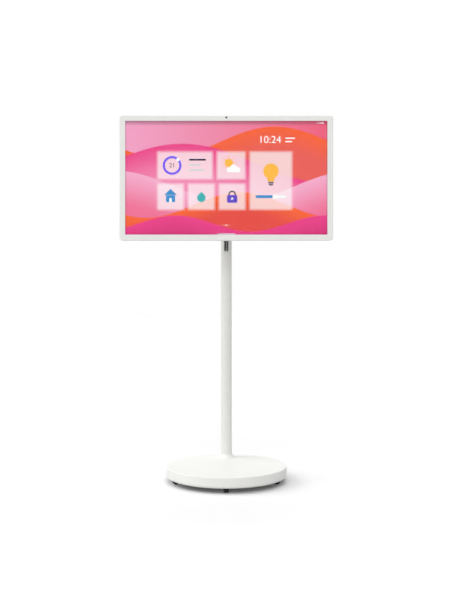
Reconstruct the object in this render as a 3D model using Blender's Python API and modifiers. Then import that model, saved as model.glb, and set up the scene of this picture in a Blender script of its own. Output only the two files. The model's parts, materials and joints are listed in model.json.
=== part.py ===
"""Rolling smart display: a touch screen that slides, swivels, tilts and turns on a pole with a round base.

Metres, +Z up. The screen faces -Y and the origin is on the floor, under the middle of the base.
"""

import math

import bmesh
import bpy
from mathutils import Matrix

# Screen: a 32 inch panel, 16 to 9, and its frame
SCREEN_WIDTH = 0.7084
SCREEN_HEIGHT = 0.3985
BEZEL_SIDE = 0.0204
BEZEL_TOP = 0.0195
BEZEL_BOTTOM = 0.0210
BEZEL_DEPTH = 0.0080
BEZEL_LIP = 0.0018
BEZEL_CHAMFER = 0.0010
BEZEL_EDGE = 0.0030
DISPLAY_CORNER = 0.0120
RIM_DEPTH = 0.0220
RIM_EDGE = 0.0060
DISPLAY_DEPTH = 0.0400
HOUSING_WIDTH = 0.4600
HOUSING_HEIGHT = 0.2600
HOUSING_CORNER = 0.0300
HOUSING_EDGE = 0.0060
COVER_WALL = 0.0025
GLASS_OVERLAP = 0.0030
GLASS_THICKNESS = 0.0020
LCD_THICKNESS = 0.0014
LIGHT_GUIDE_THICKNESS = 0.0030
TRAY_WALL = 0.0010
CAMERA_DROP = 0.0080
CAMERA_HOLE_RADIUS = 0.0036
CAMERA_RECESS = 0.0004
CAMERA_POCKET = (0.0140, 0.0090)
CAMERA_MODULE_FRONT = 0.0045
CAMERA_BARREL_RADIUS = 0.0030

# Where the display hangs
DISPLAY_CENTRE_Z = 1.0585
LIFT_TRAVEL = 0.2000
POLE_INSET = 0.0600
POLE_TO_SWIVEL = 0.0450
SWIVEL_TO_TILT = 0.0270
TILT_TO_HOUSING = 0.0305

# Pole
POLE_RADIUS = 0.0200
POLE_WALL = 0.0020
POLE_TOP_Z = 1.1050
SLOT_WIDTH = 0.0145
SLOT_CORNER = 0.0025
SLOT_BOTTOM_Z = 0.8092
CHANNEL_WALL = 0.0017
CHANNEL_BELOW_SLOT = 0.0080
CHANNEL_ABOVE_SLOT = 0.0040
CAP_HEIGHT = 0.0060
CAP_EDGE = 0.0040
TURNED_CHAMFER = 0.0010
SEAT_HEIGHT = 0.0150
SPRING_RADIUS = 0.0090
SPRING_BOTTOM_Z = 0.5350
SPRING_TOP_Z = 0.7950
SPRING_ROD_RADIUS = 0.0040
SPRING_ROD_INSERT = 0.0200
SPRING_EYE_HEIGHT = 0.0060

# Carriage and neck
CARRIAGE_HALF = 0.0350
CARRIAGE_NECK_RADIUS = 0.0105
CARRIAGE_SLACK = 0.0015
PAD_HEIGHT = 0.0120
ARM_WIDTH = 0.0120
ARM_HALF = 0.0200
ARM_ROOT = 0.0040
ARM_SHOULDER = 0.0020
ARM_TAPER = 0.0090
EYE_HALF = 0.0128
EYE_RADIUS = 0.0120
PIN_RADIUS = 0.0040
PIN_HEAD_RADIUS = 0.0070
PIN_HEAD_HEIGHT = 0.0020
PIN_HEAD_EDGE = 0.0008
PIN_END = 0.0010
EAR_THICKNESS = 0.0066
YOKE_CLEARANCE = 0.0018
YOKE_OVERLAP = 0.0040
BOSS_HALF = 0.0125
BOSS_RADIUS = 0.0110
WASHER_THICKNESS = 0.0010
WASHER_INSET = 0.0010
HUB_RADIUS = 0.0300
HUB_THICKNESS = 0.0058
HUB_CLEARANCE = 0.0020
HUB_EDGE = 0.0020
SHAFT_RADIUS = 0.0090
SHAFT_SHORT = 0.0013
PIVOT_WASHER_THICKNESS = 0.0012
PIVOT_WASHER_INSET = 0.0040
RETAINER_RADIUS = 0.0190
VESA_SPACING = 0.1000
VESA_SIZE = 0.1200
VESA_CORNER = 0.0080
VESA_THICKNESS = 0.0036
VESA_POST_RADIUS = 0.0070
VESA_HOLE_RADIUS = 0.0022

# Base
BASE_RADIUS = 0.2100
BASE_TOP_Z = 0.0544
BASE_LOW_Z = 0.0176
BASE_LOW_CURVE = 0.0096
BASE_LOW_SWEEP = 70.0
BASE_TOP_EDGE = 0.0030
BASE_WALL = 0.0030
FLARE_RADIUS = 0.0420
FLARE_HEIGHT = 0.0126
FLARE_LIP = 0.0009
CHASSIS_Z = 0.0335
CHASSIS_THICKNESS = 0.0060
BOTTOM_THICKNESS = 0.0025
FOOT_RADIUS = 0.0420
FOOT_THICKNESS = 0.0060
FOOT_SPIGOT = 0.0500
LEAD_HOLE_RADIUS = 0.0120
LEAD_HOLE_GAP = 0.0250
BATTERY_SIZE = (0.1900, 0.1100)
BATTERY_CORNER = 0.0060
BATTERY_EDGE = 0.0030
CHARGE_BOARD_SIZE = (0.0800, 0.0600)
CHARGE_BOARD_LIFT = 0.0030
CHARGE_POST_INSET = 0.0050
INLET_ANGLE = 140.0
INLET_RADIUS = 0.0050
INLET_RECESS = 0.0005
INLET_LENGTH = 0.0140
INLET_DEPTH = 0.0110
INLET_BODY = (0.0110, 0.0106)
INLET_BODY_START = 0.0042
INLET_BORE_RADIUS = 0.0032
INLET_PIN_RADIUS = 0.0010
INLET_PIN_START = 0.0020

# Casters
CASTER_COUNT = 5
CASTER_INSET = 0.0385
CASTER_TRAIL = 0.0105
WHEEL_RADIUS = 0.0120
WHEEL_WIDTH = 0.0140
WHEEL_STEPS = 18
WHEEL_EDGE = 0.0014
WHEEL_HUB_RADIUS = 0.0090
WHEEL_DISH = 0.0012
AXLE_RADIUS = 0.0020
FORK_CHEEK = 0.0022
FORK_PLATE = 0.0045
FORK_CLEARANCE = 0.0012
FORK_DROP = 0.0050
FORK_ARM = 0.0055
FORK_NOSE = 0.0075
FORK_SHOULDER = 0.0060
FORK_COLLAR_RADIUS = 0.0080
STEM_RADIUS = 0.0040
STEM_RISE = 0.0020

# Buttons and sockets on the sides of the housing
BUTTON_HEIGHT = 0.0060
BUTTON_LENGTH = 0.0140
BUTTON_PROUD = 0.0012
BUTTON_TRAVEL = 0.0010
BUTTON_CORNER = 0.0029
BUTTON_EDGE = 0.0006
BUTTON_FLANGE = 0.0016
BUTTON_FLANGE_REACH = 0.0012
SWITCH_HEIGHT = 0.0022
SWITCH_SIZE = (0.0040, 0.0040)
BUTTON_PITCH = 0.0220
BUTTONS_Z = 0.0000
BUTTON_BOARD_HALF = 0.0352
BUTTON_BOARD_FRONT = 0.0080
HDMI_MOUTH = (0.0140, 0.0048)
USB_MOUTH = (0.0130, 0.0056)
SOCKET_WALL = 0.0005
SOCKET_LENGTH = 0.0125
SOCKET_DEPTH = 0.0090
BOARD_HEIGHT = 0.1200
BOARD_INSET = 0.0500
BOARD_GAP = 0.0020
BOARD_LIFT = 0.0018
BOARD_POST_INSET = 0.0080
BOARD_POST_RADIUS = 0.0030
BOARD_THICKNESS = 0.0016
HDMI_Z = 0.0200
USB_Z = -0.0080
SPEAKER_SIZE = (0.1100, 0.0360)
SPEAKER_PLACE = (0.1500, -0.0920)
SPEAKER_FRONT_GAP = 0.0040
SPEAKER_CORNER = 0.0060
SPEAKER_EDGE = 0.0015
SPEAKER_SLOT = (0.0030, 0.0180)
SPEAKER_SLOTS = 8
SPEAKER_SLOT_PITCH = 0.0080
VENT_PLACE = (0.0000, 0.1020)
VENT_SLOT = (0.0030, 0.0120)
VENT_SLOTS = 18
VENT_SLOT_PITCH = 0.0080

# Chips on a board: the low and the high corner as shares of its sides, and the height
CHARGE_CHIPS = (((0.12, 0.17), (0.40, 0.58), 0.0054), ((0.50, 0.20), (0.70, 0.47), 0.0029),
                ((0.62, 0.60), (0.85, 0.87), 0.0049))
MAIN_CHIPS = (((0.43, 0.33), (0.66, 0.67), 0.0060), ((0.74, 0.54), (0.86, 0.75), 0.0030),
              ((0.26, 0.08), (0.49, 0.21), 0.0080))

# Fits: a gap between touching pieces, a wider one where they move, how far a joined form sinks into its
# neighbour, and how far a cutter runs past what it cuts
GAP = 0.0003
FIT = 0.0006
SINK = 0.0005
PAST = 0.0100

# Derived places
BASE_FOOT_RADIUS = BASE_RADIUS - BASE_LOW_CURVE * (1 - math.cos(math.radians(BASE_LOW_SWEEP)))
BASE_CURVE_Z = BASE_LOW_Z + BASE_LOW_CURVE * math.sin(math.radians(BASE_LOW_SWEEP))
CASTER_CIRCLE = BASE_RADIUS - CASTER_INSET
POLE_Y = BASE_RADIUS - POLE_INSET
DISPLAY_WIDTH = SCREEN_WIDTH + 2 * BEZEL_SIDE
DISPLAY_HEIGHT = SCREEN_HEIGHT + BEZEL_TOP + BEZEL_BOTTOM
SCREEN_SHIFT = (BEZEL_BOTTOM - BEZEL_TOP) / 2
GLASS_FRONT = BEZEL_LIP + GAP
LCD_FRONT = GLASS_FRONT + GLASS_THICKNESS + GAP
LIGHT_FRONT = LCD_FRONT + LCD_THICKNESS + GAP
TRAY_FLOOR = LIGHT_FRONT + LIGHT_GUIDE_THICKNESS + GAP
TRAY_BACK = TRAY_FLOOR + TRAY_WALL
HOUSING_INNER = DISPLAY_DEPTH - COVER_WALL
BORE_RADIUS = POLE_RADIUS - POLE_WALL
CHANNEL_RADIUS = BORE_RADIUS - GAP
CHANNEL_INNER = CHANNEL_RADIUS - CHANNEL_WALL
PAD_RADIUS = CHANNEL_INNER - 1.5 * GAP
SPIGOT_RADIUS = BORE_RADIUS - GAP
SLOT_TOP_Z = DISPLAY_CENTRE_Z + ARM_HALF + SLOT_CORNER + FIT
CHASSIS_TOP = CHASSIS_Z + CHASSIS_THICKNESS
BOTTOM_TOP = BASE_LOW_Z + GAP + BOTTOM_THICKNESS
FOOT_Z = CHASSIS_TOP + GAP
TUBE_BOTTOM_Z = FOOT_Z + FOOT_THICKNESS + GAP
CASTER_SWEEP = math.hypot(CASTER_TRAIL + WHEEL_RADIUS, WHEEL_WIDTH / 2)

COLOURS = {
    "white_plastic": ((0.83, 0.83, 0.82), 0.42, 0.0),
    "white_coating": ((0.86, 0.86, 0.85), 0.38, 0.0),
    "grey_plastic": ((0.13, 0.13, 0.14), 0.55, 0.0),
    "black_plastic": ((0.020, 0.020, 0.022), 0.50, 0.0),
    "black_rubber": ((0.014, 0.014, 0.015), 0.75, 0.0),
    "white_acetal": ((0.78, 0.78, 0.74), 0.40, 0.0),
    "steel": ((0.58, 0.58, 0.60), 0.32, 1.0),
    "aluminium": ((0.74, 0.75, 0.77), 0.38, 1.0),
    "clear_glass": ((0.04, 0.04, 0.05), 0.06, 0.0),
    "screen": ((0.62, 0.20, 0.30), 0.30, 0.0),
    "acrylic": ((0.82, 0.86, 0.88), 0.18, 0.0),
    "circuit_board": ((0.02, 0.12, 0.06), 0.45, 0.0),
    "battery_wrap": ((0.03, 0.10, 0.30), 0.40, 0.0),
}


def clear_scene():
    for obj in list(bpy.data.objects):
        bpy.data.objects.remove(obj)


def new_collection(name):
    collection = bpy.data.collections.new(name)
    bpy.context.scene.collection.children.link(collection)
    return collection


clear_scene()
PARTS = new_collection("smart_display")
CUTTERS = new_collection("cutters")


def material(name):
    """The Principled material of that name, made on first use."""
    found = bpy.data.materials.get(name)
    if found:
        return found
    colour, roughness, metallic = COLOURS[name]
    made = bpy.data.materials.new(name)
    made.use_nodes = True
    shader = made.node_tree.nodes["Principled BSDF"]
    shader.inputs["Base Color"].default_value = (*colour, 1.0)
    shader.inputs["Roughness"].default_value = roughness
    shader.inputs["Metallic"].default_value = metallic
    return made


def empty(name, location, parent=None, turn=0.0):
    """An empty on a joint axis. Its pieces are placed from it."""
    obj = bpy.data.objects.new(name, None)
    obj.location = location
    obj.rotation_euler = (0.0, 0.0, turn)
    obj.empty_display_size = 0.02
    obj.parent = parent
    PARTS.objects.link(obj)
    return obj


def part(obj, parent, finish):
    """Makes obj one piece of the object."""
    PARTS.objects.link(obj)
    obj.parent = parent
    obj.data.materials.append(material(finish))
    obj.data.shade_smooth()
    obj.data.set_sharp_from_angle(angle=math.radians(32))
    return obj


def combine(target, tool, operation):
    """Adds a Boolean to target and keeps its tool out of the render."""
    CUTTERS.objects.link(tool)
    tool.parent = target.parent
    tool.hide_render = True
    tool.display_type = "WIRE"
    modifier = target.modifiers.new(tool.name, "BOOLEAN")
    modifier.operation = operation
    modifier.solver = "EXACT"
    modifier.object = tool
    return target


def cut(target, tool):
    return combine(target, tool, "DIFFERENCE")


def join(target, tool):
    return combine(target, tool, "UNION")


def along(axis, u, v, w):
    """A point of an outline (u, v) at the distance w along its axis."""
    if axis == "X":
        return (w, u, v)
    if axis == "Y":
        return (u, w, v)
    return (u, v, w)


def solid(name, bm):
    bm.normal_update()
    bmesh.ops.recalc_face_normals(bm, faces=bm.faces)
    mesh = bpy.data.meshes.new(name)
    bm.to_mesh(mesh)
    bm.free()
    return bpy.data.objects.new(name, mesh)


def slab(name, axis, size, low, high, centre=(0.0, 0.0), corner=0.0, low_edge=0.0, high_edge=0.0, steps=5):
    """A plate across an axis from low to high, with rounded corners and rounded edges on either face."""
    bm = bmesh.new()
    bmesh.ops.create_cube(bm, size=1.0)
    bmesh.ops.scale(bm, vec=(size[0], size[1], high - low), verts=bm.verts)
    bmesh.ops.translate(bm, vec=(centre[0], centre[1], (low + high) / 2), verts=bm.verts)
    if corner:
        upright = [e for e in bm.edges if abs(e.verts[0].co.z - e.verts[1].co.z) > 1e-6]
        bmesh.ops.bevel(bm, geom=upright, offset=corner, segments=steps, profile=0.5, affect="EDGES")
    for level, radius in ((low, low_edge), (high, high_edge)):
        if radius:
            rim = [e for e in bm.edges if all(abs(v.co.z - level) < 1e-6 for v in e.verts)]
            bmesh.ops.bevel(bm, geom=rim, offset=radius, segments=3, profile=0.5, affect="EDGES")
    for vert in bm.verts:
        vert.co = along(axis, *vert.co)
    return solid(name, bm)


def box(name, low, high):
    """A block between two corners."""
    return slab(name, "Z", (high[0] - low[0], high[1] - low[1]), low[2], high[2],
                centre=((low[0] + high[0]) / 2, (low[1] + high[1]) / 2))


def prism(name, axis, outline, low, high):
    """A flat outline pushed along an axis from low to high."""
    bm = bmesh.new()
    face = bm.faces.new([bm.verts.new((u, v, low)) for u, v in outline])
    pushed = bmesh.ops.extrude_face_region(bm, geom=[face])
    moved = [item for item in pushed["geom"] if isinstance(item, bmesh.types.BMVert)]
    bmesh.ops.translate(bm, vec=(0.0, 0.0, high - low), verts=moved)
    for vert in bm.verts:
        vert.co = along(axis, *vert.co)
    return solid(name, bm)


def rod(name, axis, radius, low, high, centre=(0.0, 0.0), steps=32):
    """A cylinder along an axis from low to high."""
    turns = [2 * math.pi * (k + 0.5) / steps for k in range(steps)]
    outline = [(centre[0] + radius * math.cos(t), centre[1] + radius * math.sin(t)) for t in turns]
    return prism(name, axis, outline, low, high)


def arc(centre, radii, start, end, steps):
    """Points of an elliptical arc. Angles are in degrees."""
    turns = [math.radians(start + (end - start) * k / steps) for k in range(steps + 1)]
    return [(centre[0] + radii[0] * math.cos(t), centre[1] + radii[1] * math.sin(t)) for t in turns]


def turned(name, profile, steps=40, ring=False):
    """A solid of revolution about Z. The profile of (radius, height) runs down its outer side."""
    mesh = bpy.data.meshes.new(name)
    edges = [(k, k + 1) for k in range(len(profile) - 1)]
    if ring:
        edges.append((len(profile) - 1, 0))
    mesh.from_pydata([(r, 0.0, z) for r, z in profile], edges, [])
    obj = bpy.data.objects.new(name, mesh)
    screw = obj.modifiers.new("turn", "SCREW")
    screw.axis = "Z"
    screw.steps = steps
    screw.render_steps = steps
    screw.use_merge_vertices = True
    screw.merge_threshold = 0.00001
    screw.use_smooth_shade = True
    return obj


def tube(name, inner, outer, low, high, steps=40):
    """A plain ring about Z."""
    return turned(name, [(inner, high), (outer, high), (outer, low), (inner, low)], steps, ring=True)


def lie_across(obj):
    """Turns a solid of revolution from Z to lie along X."""
    obj.rotation_euler = (0.0, math.pi / 2, 0.0)
    return obj


def face_screen(obj):
    """Turns a solid of revolution from Z to point at the screen, along -Y."""
    obj.rotation_euler = (math.pi / 2, 0.0, 0.0)
    return obj


def settled(obj):
    """The mesh that obj has after its modifiers."""
    bpy.context.view_layer.update()
    return bpy.data.meshes.new_from_object(obj.evaluated_get(bpy.context.evaluated_depsgraph_get()))


def circle(radius, centre, steps):
    turns = [2 * math.pi * k / steps for k in range(steps)]
    return [(centre[0] + radius * math.cos(t), centre[1] + radius * math.sin(t)) for t in turns]


def plate(name, loops, low, high):
    """A level plate with holes, as a filled 2D curve. The first loop is its edge."""
    curve = bpy.data.curves.new(name, "CURVE")
    curve.dimensions = "2D"
    curve.fill_mode = "BOTH"
    curve.extrude = (high - low) / 2
    for loop in loops:
        spline = curve.splines.new("POLY")
        spline.points.add(len(loop) - 1)
        for point, (x, y) in zip(spline.points, loop):
            point.co = (x, y, 0.0, 1.0)
        spline.use_cyclic_u = True
    flat = bpy.data.objects.new(name, curve)
    PARTS.objects.link(flat)
    mesh = settled(flat)
    bpy.data.objects.remove(flat)
    bm = bmesh.new()
    bm.from_mesh(mesh)
    bmesh.ops.remove_doubles(bm, verts=bm.verts, dist=0.00001)
    bmesh.ops.translate(bm, vec=(0.0, 0.0, (low + high) / 2), verts=bm.verts)
    return solid(name, bm)


def caster_turns():
    return [2 * math.pi * k / CASTER_COUNT for k in range(CASTER_COUNT)]


def caster_places():
    """Swivel axes of the casters, the first at the front."""
    return [(CASTER_CIRCLE * math.sin(t), -CASTER_CIRCLE * math.cos(t)) for t in caster_turns()]


def build_base(stand):
    inner = BASE_RADIUS - BASE_WALL
    low_centre = (BASE_RADIUS - BASE_LOW_CURVE, BASE_CURVE_Z)
    outer_low = arc(low_centre, (BASE_LOW_CURVE, BASE_LOW_CURVE), 0, -BASE_LOW_SWEEP, 4)
    inner_low = [(BASE_FOOT_RADIUS - BASE_WALL, BASE_LOW_Z), (inner, BASE_CURVE_Z)]
    edge_centre = (BASE_RADIUS - BASE_TOP_EDGE, BASE_TOP_Z - BASE_TOP_EDGE)
    profile = [(0.0, BASE_TOP_Z)]
    profile += arc(edge_centre, (BASE_TOP_EDGE, BASE_TOP_EDGE), 90, 0, 3)
    profile += outer_low + inner_low
    profile += [(inner, BASE_TOP_Z - BASE_WALL), (0.0, BASE_TOP_Z - BASE_WALL)]
    cover = part(turned("base_cover", profile, 48), stand, "white_plastic")

    lip = POLE_RADIUS + GAP + FLARE_LIP
    flare_centre = (FLARE_RADIUS, BASE_TOP_Z + FLARE_HEIGHT)
    flare_profile = [(0.0, BASE_TOP_Z + FLARE_HEIGHT)]
    flare_profile += arc(flare_centre, (FLARE_RADIUS - lip, FLARE_HEIGHT), 180, 258, 5)
    flare_profile += [(flare_profile[-1][0], BASE_TOP_Z - BASE_WALL / 2), (0.0, BASE_TOP_Z - BASE_WALL / 2)]
    flare = turned("flare", flare_profile, 28)
    flare.location = (0.0, POLE_Y, 0.0)
    join(cover, flare)
    cut(cover, rod("pole_hole", "Z", POLE_RADIUS + GAP, BASE_TOP_Z - PAST, BASE_TOP_Z + FLARE_HEIGHT + PAST,
                   centre=(0.0, POLE_Y), steps=28))

    windows = [circle(CASTER_SWEEP + FIT, place, 18) for place in caster_places()]
    edge = circle(BASE_FOOT_RADIUS - BASE_WALL - GAP, (0.0, 0.0), 48)
    part(plate("bottom_cover", [edge] + windows, BASE_LOW_Z + GAP, BOTTOM_TOP), stand, "black_plastic")

    stem_holes = [circle(STEM_RADIUS + GAP, place, 12) for place in caster_places()]
    lead_hole = circle(LEAD_HOLE_RADIUS, (0.0, POLE_Y - FOOT_RADIUS - LEAD_HOLE_GAP), 16)
    edge = circle(inner - FIT, (0.0, 0.0), 48)
    part(plate("chassis_plate", [edge] + stem_holes + [lead_hole], CHASSIS_Z, CHASSIS_TOP), stand, "steel")

    part(slab("battery_pack", "Z", BATTERY_SIZE, BOTTOM_TOP + GAP, CHASSIS_Z - GAP, corner=BATTERY_CORNER,
              low_edge=BATTERY_EDGE, high_edge=BATTERY_EDGE, steps=3), stand, "battery_wrap")
    build_charging(stand, cover)


def build_charging(stand, cover):
    """The charging board on the chassis and the round socket at the back of the base."""
    foot = CHASSIS_TOP + GAP
    low = foot + CHARGE_BOARD_LIFT
    top = low + BOARD_THICKNESS
    wide, deep = CHARGE_BOARD_SIZE
    board = part(slab("charge_board", "Z", CHARGE_BOARD_SIZE, low, top), stand, "circuit_board")
    for x in (CHARGE_POST_INSET - wide / 2, wide / 2 - CHARGE_POST_INSET):
        for y in (CHARGE_POST_INSET - deep / 2, deep / 2 - CHARGE_POST_INSET):
            join(board, rod("board_post", "Z", BOARD_POST_RADIUS, foot, low + SINK, centre=(x, y), steps=12))
    for near, far, height in CHARGE_CHIPS:
        join(board, box("chip", ((near[0] - 0.5) * wide, (near[1] - 0.5) * deep, top - SINK),
                        ((far[0] - 0.5) * wide, (far[1] - 0.5) * deep, top + height)))

    turn = math.radians(INLET_ANGLE)
    axis = empty("inlet_axis", (0.0, 0.0, (CHASSIS_TOP + BASE_TOP_Z - BASE_WALL) / 2), stand, turn)
    outer = -BASE_RADIUS + INLET_RECESS
    inner = outer + INLET_LENGTH
    bottom = outer + INLET_DEPTH
    cut(cover, settled_rod("inlet_hole", axis, INLET_RADIUS + GAP, outer - PAST, outer + PAST, stand))
    socket = part(rod("dc_inlet", "Y", INLET_RADIUS, outer, inner - SINK, steps=24), axis, "black_plastic")
    join(socket, slab("inlet_body", "Y", INLET_BODY, outer + INLET_BODY_START, inner))
    cut(socket, rod("inlet_bore", "Y", INLET_BORE_RADIUS, outer - PAST, bottom, steps=20))
    join(socket, rod("inlet_pin", "Y", INLET_PIN_RADIUS, outer + INLET_PIN_START, bottom + SINK, steps=10))


def settled_rod(name, axis, radius, low, high, parent):
    """A rod along the Y axis of an empty, for a Boolean on a piece of another parent."""
    obj = rod(name, "Y", radius, low, high)
    obj.location = axis.location
    obj.rotation_euler = axis.rotation_euler
    obj.parent = parent
    return obj


def caster_fork():
    """Mesh of one fork with its stem. The swivel axis is Z and the wheel trails towards -Y."""
    half_in = WHEEL_WIDTH / 2 + FIT
    half_out = half_in + FORK_CHEEK
    under = 2 * WHEEL_RADIUS + FORK_CLEARANCE
    top = under + FORK_PLATE
    low = WHEEL_RADIUS - FORK_DROP
    outline = [(-half_out, low), (-half_out, top), (half_out, top), (half_out, low),
               (half_in, low), (half_in, under), (-half_in, under), (-half_in, low)]
    fork = prism("fork", "Y", outline, -CASTER_TRAIL - FORK_ARM, FORK_NOSE)
    CUTTERS.objects.link(fork)
    join(fork, rod("fork_collar", "Z", FORK_COLLAR_RADIUS, top - SINK, CHASSIS_Z - GAP, steps=12))
    join(fork, rod("fork_stem", "Z", STEM_RADIUS, top, CHASSIS_TOP + STEM_RISE, steps=12))
    wide = half_out + PAST
    cut(fork, box("fork_relief", (-wide, -CASTER_TRAIL + FORK_ARM, low - PAST),
                  (wide, FORK_NOSE + PAST, under - FORK_SHOULDER)))
    cut(fork, rod("axle_hole", "X", AXLE_RADIUS + GAP, -wide, wide, centre=(-CASTER_TRAIL, WHEEL_RADIUS),
                  steps=12))
    mesh = settled(fork)
    bpy.data.objects.remove(fork)
    return mesh


def caster_wheel():
    """Mesh of one wheel about X. Its tread has a flat towards the floor."""
    reach = WHEEL_RADIUS / math.cos(math.pi / WHEEL_STEPS)
    half = WHEEL_WIDTH / 2
    bore = AXLE_RADIUS + GAP
    profile = [(bore, half - WHEEL_DISH), (WHEEL_HUB_RADIUS, half), (reach - WHEEL_EDGE, half),
               (reach, half - WHEEL_EDGE)]
    profile += mirrored(profile)
    wheel = turned("wheel", profile, WHEEL_STEPS, ring=True)
    CUTTERS.objects.link(wheel)
    mesh = settled(wheel)
    bpy.data.objects.remove(wheel)
    mesh.transform(Matrix.Rotation(math.pi / 2, 4, "Y") @ Matrix.Rotation(math.pi / WHEEL_STEPS, 4, "Z"))
    return mesh


def build_casters(stand):
    fork_mesh = caster_fork()
    wheel_mesh = caster_wheel()
    half_axle = WHEEL_WIDTH / 2 + FIT + FORK_CHEEK
    for number, (turn, place) in enumerate(zip(caster_turns(), caster_places()), start=1):
        swivel = empty(f"caster_{number}_swivel", (*place, 0.0), stand, turn)
        roll = empty(f"caster_{number}_roll", (0.0, -CASTER_TRAIL, WHEEL_RADIUS), swivel)
        part(bpy.data.objects.new(f"caster_fork_{number}", fork_mesh.copy()), swivel, "black_plastic")
        part(rod(f"caster_axle_{number}", "X", AXLE_RADIUS, -half_axle, half_axle, steps=12), roll, "steel")
        part(bpy.data.objects.new(f"caster_wheel_{number}", wheel_mesh.copy()), roll, "black_rubber")


def build_pole(stand):
    pole = empty("pole_axis", (0.0, POLE_Y, 0.0), stand)
    foot_top = FOOT_Z + FOOT_THICKNESS
    foot = [(0.0, FOOT_Z + FOOT_SPIGOT)]
    foot += chamfered(SPIGOT_RADIUS, FOOT_Z + FOOT_SPIGOT)
    foot += [(SPIGOT_RADIUS, foot_top)]
    foot += chamfered(FOOT_RADIUS, foot_top)
    foot += [(FOOT_RADIUS, FOOT_Z), (0.0, FOOT_Z)]
    part(turned("pole_foot", foot, 24), pole, "steel")
    shaft = part(tube("pole_tube", BORE_RADIUS, POLE_RADIUS, TUBE_BOTTOM_Z, POLE_TOP_Z, 40), pole,
                 "white_coating")
    cut(shaft, slab("pole_slot", "Y", (SLOT_WIDTH, SLOT_TOP_Z - SLOT_BOTTOM_Z), -2 * POLE_RADIUS, 0.0,
                    (0.0, (SLOT_BOTTOM_Z + SLOT_TOP_Z) / 2), corner=SLOT_CORNER))

    channel_low = SLOT_BOTTOM_Z - CHANNEL_BELOW_SLOT
    channel_top = SLOT_TOP_Z + CHANNEL_ABOVE_SLOT
    channel = part(tube("guide_channel", CHANNEL_INNER, CHANNEL_RADIUS, channel_low, channel_top, 36), pole,
                   "grey_plastic")
    half = SLOT_WIDTH / 2
    cut(channel, box("channel_mouth", (-half, -2 * POLE_RADIUS, channel_low - PAST),
                     (half, 0.0, channel_top + PAST)))

    cap_low = POLE_TOP_Z + GAP
    cap_top = cap_low + CAP_HEIGHT
    cap_plug = DISPLAY_CENTRE_Z + CARRIAGE_HALF + FIT
    cap = [(0.0, cap_top)]
    cap += arc((POLE_RADIUS - CAP_EDGE, cap_top - CAP_EDGE), (CAP_EDGE, CAP_EDGE), 90, 0, 3)
    cap += [(POLE_RADIUS, cap_low), (SPIGOT_RADIUS, cap_low), (SPIGOT_RADIUS, cap_plug), (0.0, cap_plug)]
    part(turned("pole_cap", cap, 24), pole, "white_plastic")

    seat_top = SPRING_BOTTOM_Z - GAP
    seat_low = seat_top - SEAT_HEIGHT
    seat = [(0.0, seat_top)] + chamfered(SPIGOT_RADIUS, seat_top)
    seat += [(SPIGOT_RADIUS, seat_low), (0.0, seat_low)]
    part(turned("spring_seat", seat, 24), pole, "steel")
    bore = SPRING_ROD_RADIUS + GAP
    floor = SPRING_TOP_Z - LIFT_TRAVEL - 2 * SPRING_ROD_INSERT
    spring = [(bore, SPRING_TOP_Z)] + chamfered(SPRING_RADIUS, SPRING_TOP_Z)
    spring += [(SPRING_RADIUS, SPRING_BOTTOM_Z), (0.0, SPRING_BOTTOM_Z), (0.0, floor), (bore, floor)]
    part(turned("gas_spring_cylinder", spring, 16, ring=True), pole, "black_plastic")


def chamfered(radius, top):
    """Two points of a turned profile: a small chamfer at the upper edge of a radius."""
    return [(radius - TURNED_CHAMFER, top), (radius, top - TURNED_CHAMFER)]


def build_carriage(stand):
    """The block that slides in the pole, and the arm that comes out through the slot."""
    lift = empty("lift_axis", (0.0, POLE_Y, DISPLAY_CENTRE_Z), stand)
    neck = CARRIAGE_HALF - PAD_HEIGHT - GAP
    body_radius = CHANNEL_INNER - CARRIAGE_SLACK
    upper = [(0.0, CARRIAGE_HALF), (CARRIAGE_NECK_RADIUS, CARRIAGE_HALF), (CARRIAGE_NECK_RADIUS, neck),
             (body_radius, neck)]
    block = part(turned("carriage_block", upper + mirrored(upper), 20), lift, "aluminium")
    half = ARM_WIDTH / 2
    cut(block, box("arm_pocket", (-half - GAP, -2 * POLE_RADIUS, -ARM_HALF - GAP),
                   (half + GAP, -ARM_ROOT, ARM_HALF + GAP)))
    for name, low in (("glide_pad_upper", neck + GAP), ("glide_pad_lower", -CARRIAGE_HALF)):
        part(tube(name, CARRIAGE_NECK_RADIUS + GAP, PAD_RADIUS, low, low + PAD_HEIGHT - GAP, 20), lift,
             "white_acetal")

    shoulder = -POLE_RADIUS - ARM_SHOULDER
    upper = [(-ARM_ROOT - GAP, ARM_HALF), (shoulder, ARM_HALF), (shoulder - ARM_TAPER, EYE_HALF),
             (-POLE_TO_SWIVEL, EYE_HALF)]
    arm = part(prism("neck_arm", "X", upper + mirrored(upper), -half, half), lift, "white_coating")
    centre = (0.0, -POLE_TO_SWIVEL)
    join(arm, rod("arm_eye", "Z", EYE_RADIUS, -EYE_HALF, EYE_HALF, centre=centre, steps=28))
    cut(arm, rod("arm_bore", "Z", PIN_RADIUS + GAP, -EYE_HALF - PAST, EYE_HALF + PAST, centre=centre,
                 steps=16))

    rod_top = -CARRIAGE_HALF - GAP
    rod_neck = rod_top - SPRING_EYE_HEIGHT
    rod_end = SPRING_TOP_Z - SPRING_ROD_INSERT - DISPLAY_CENTRE_Z
    profile = [(0.0, rod_top), (SPRING_RADIUS, rod_top), (SPRING_RADIUS, rod_neck),
               (SPRING_ROD_RADIUS, rod_neck), (SPRING_ROD_RADIUS, rod_end), (0.0, rod_end)]
    part(turned("gas_spring_rod", profile, 16), lift, "steel")
    return lift


def mirrored(points):
    """The lower half of an outline or profile whose upper half is given."""
    return [(u, -v) for u, v in reversed(points)]


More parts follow.
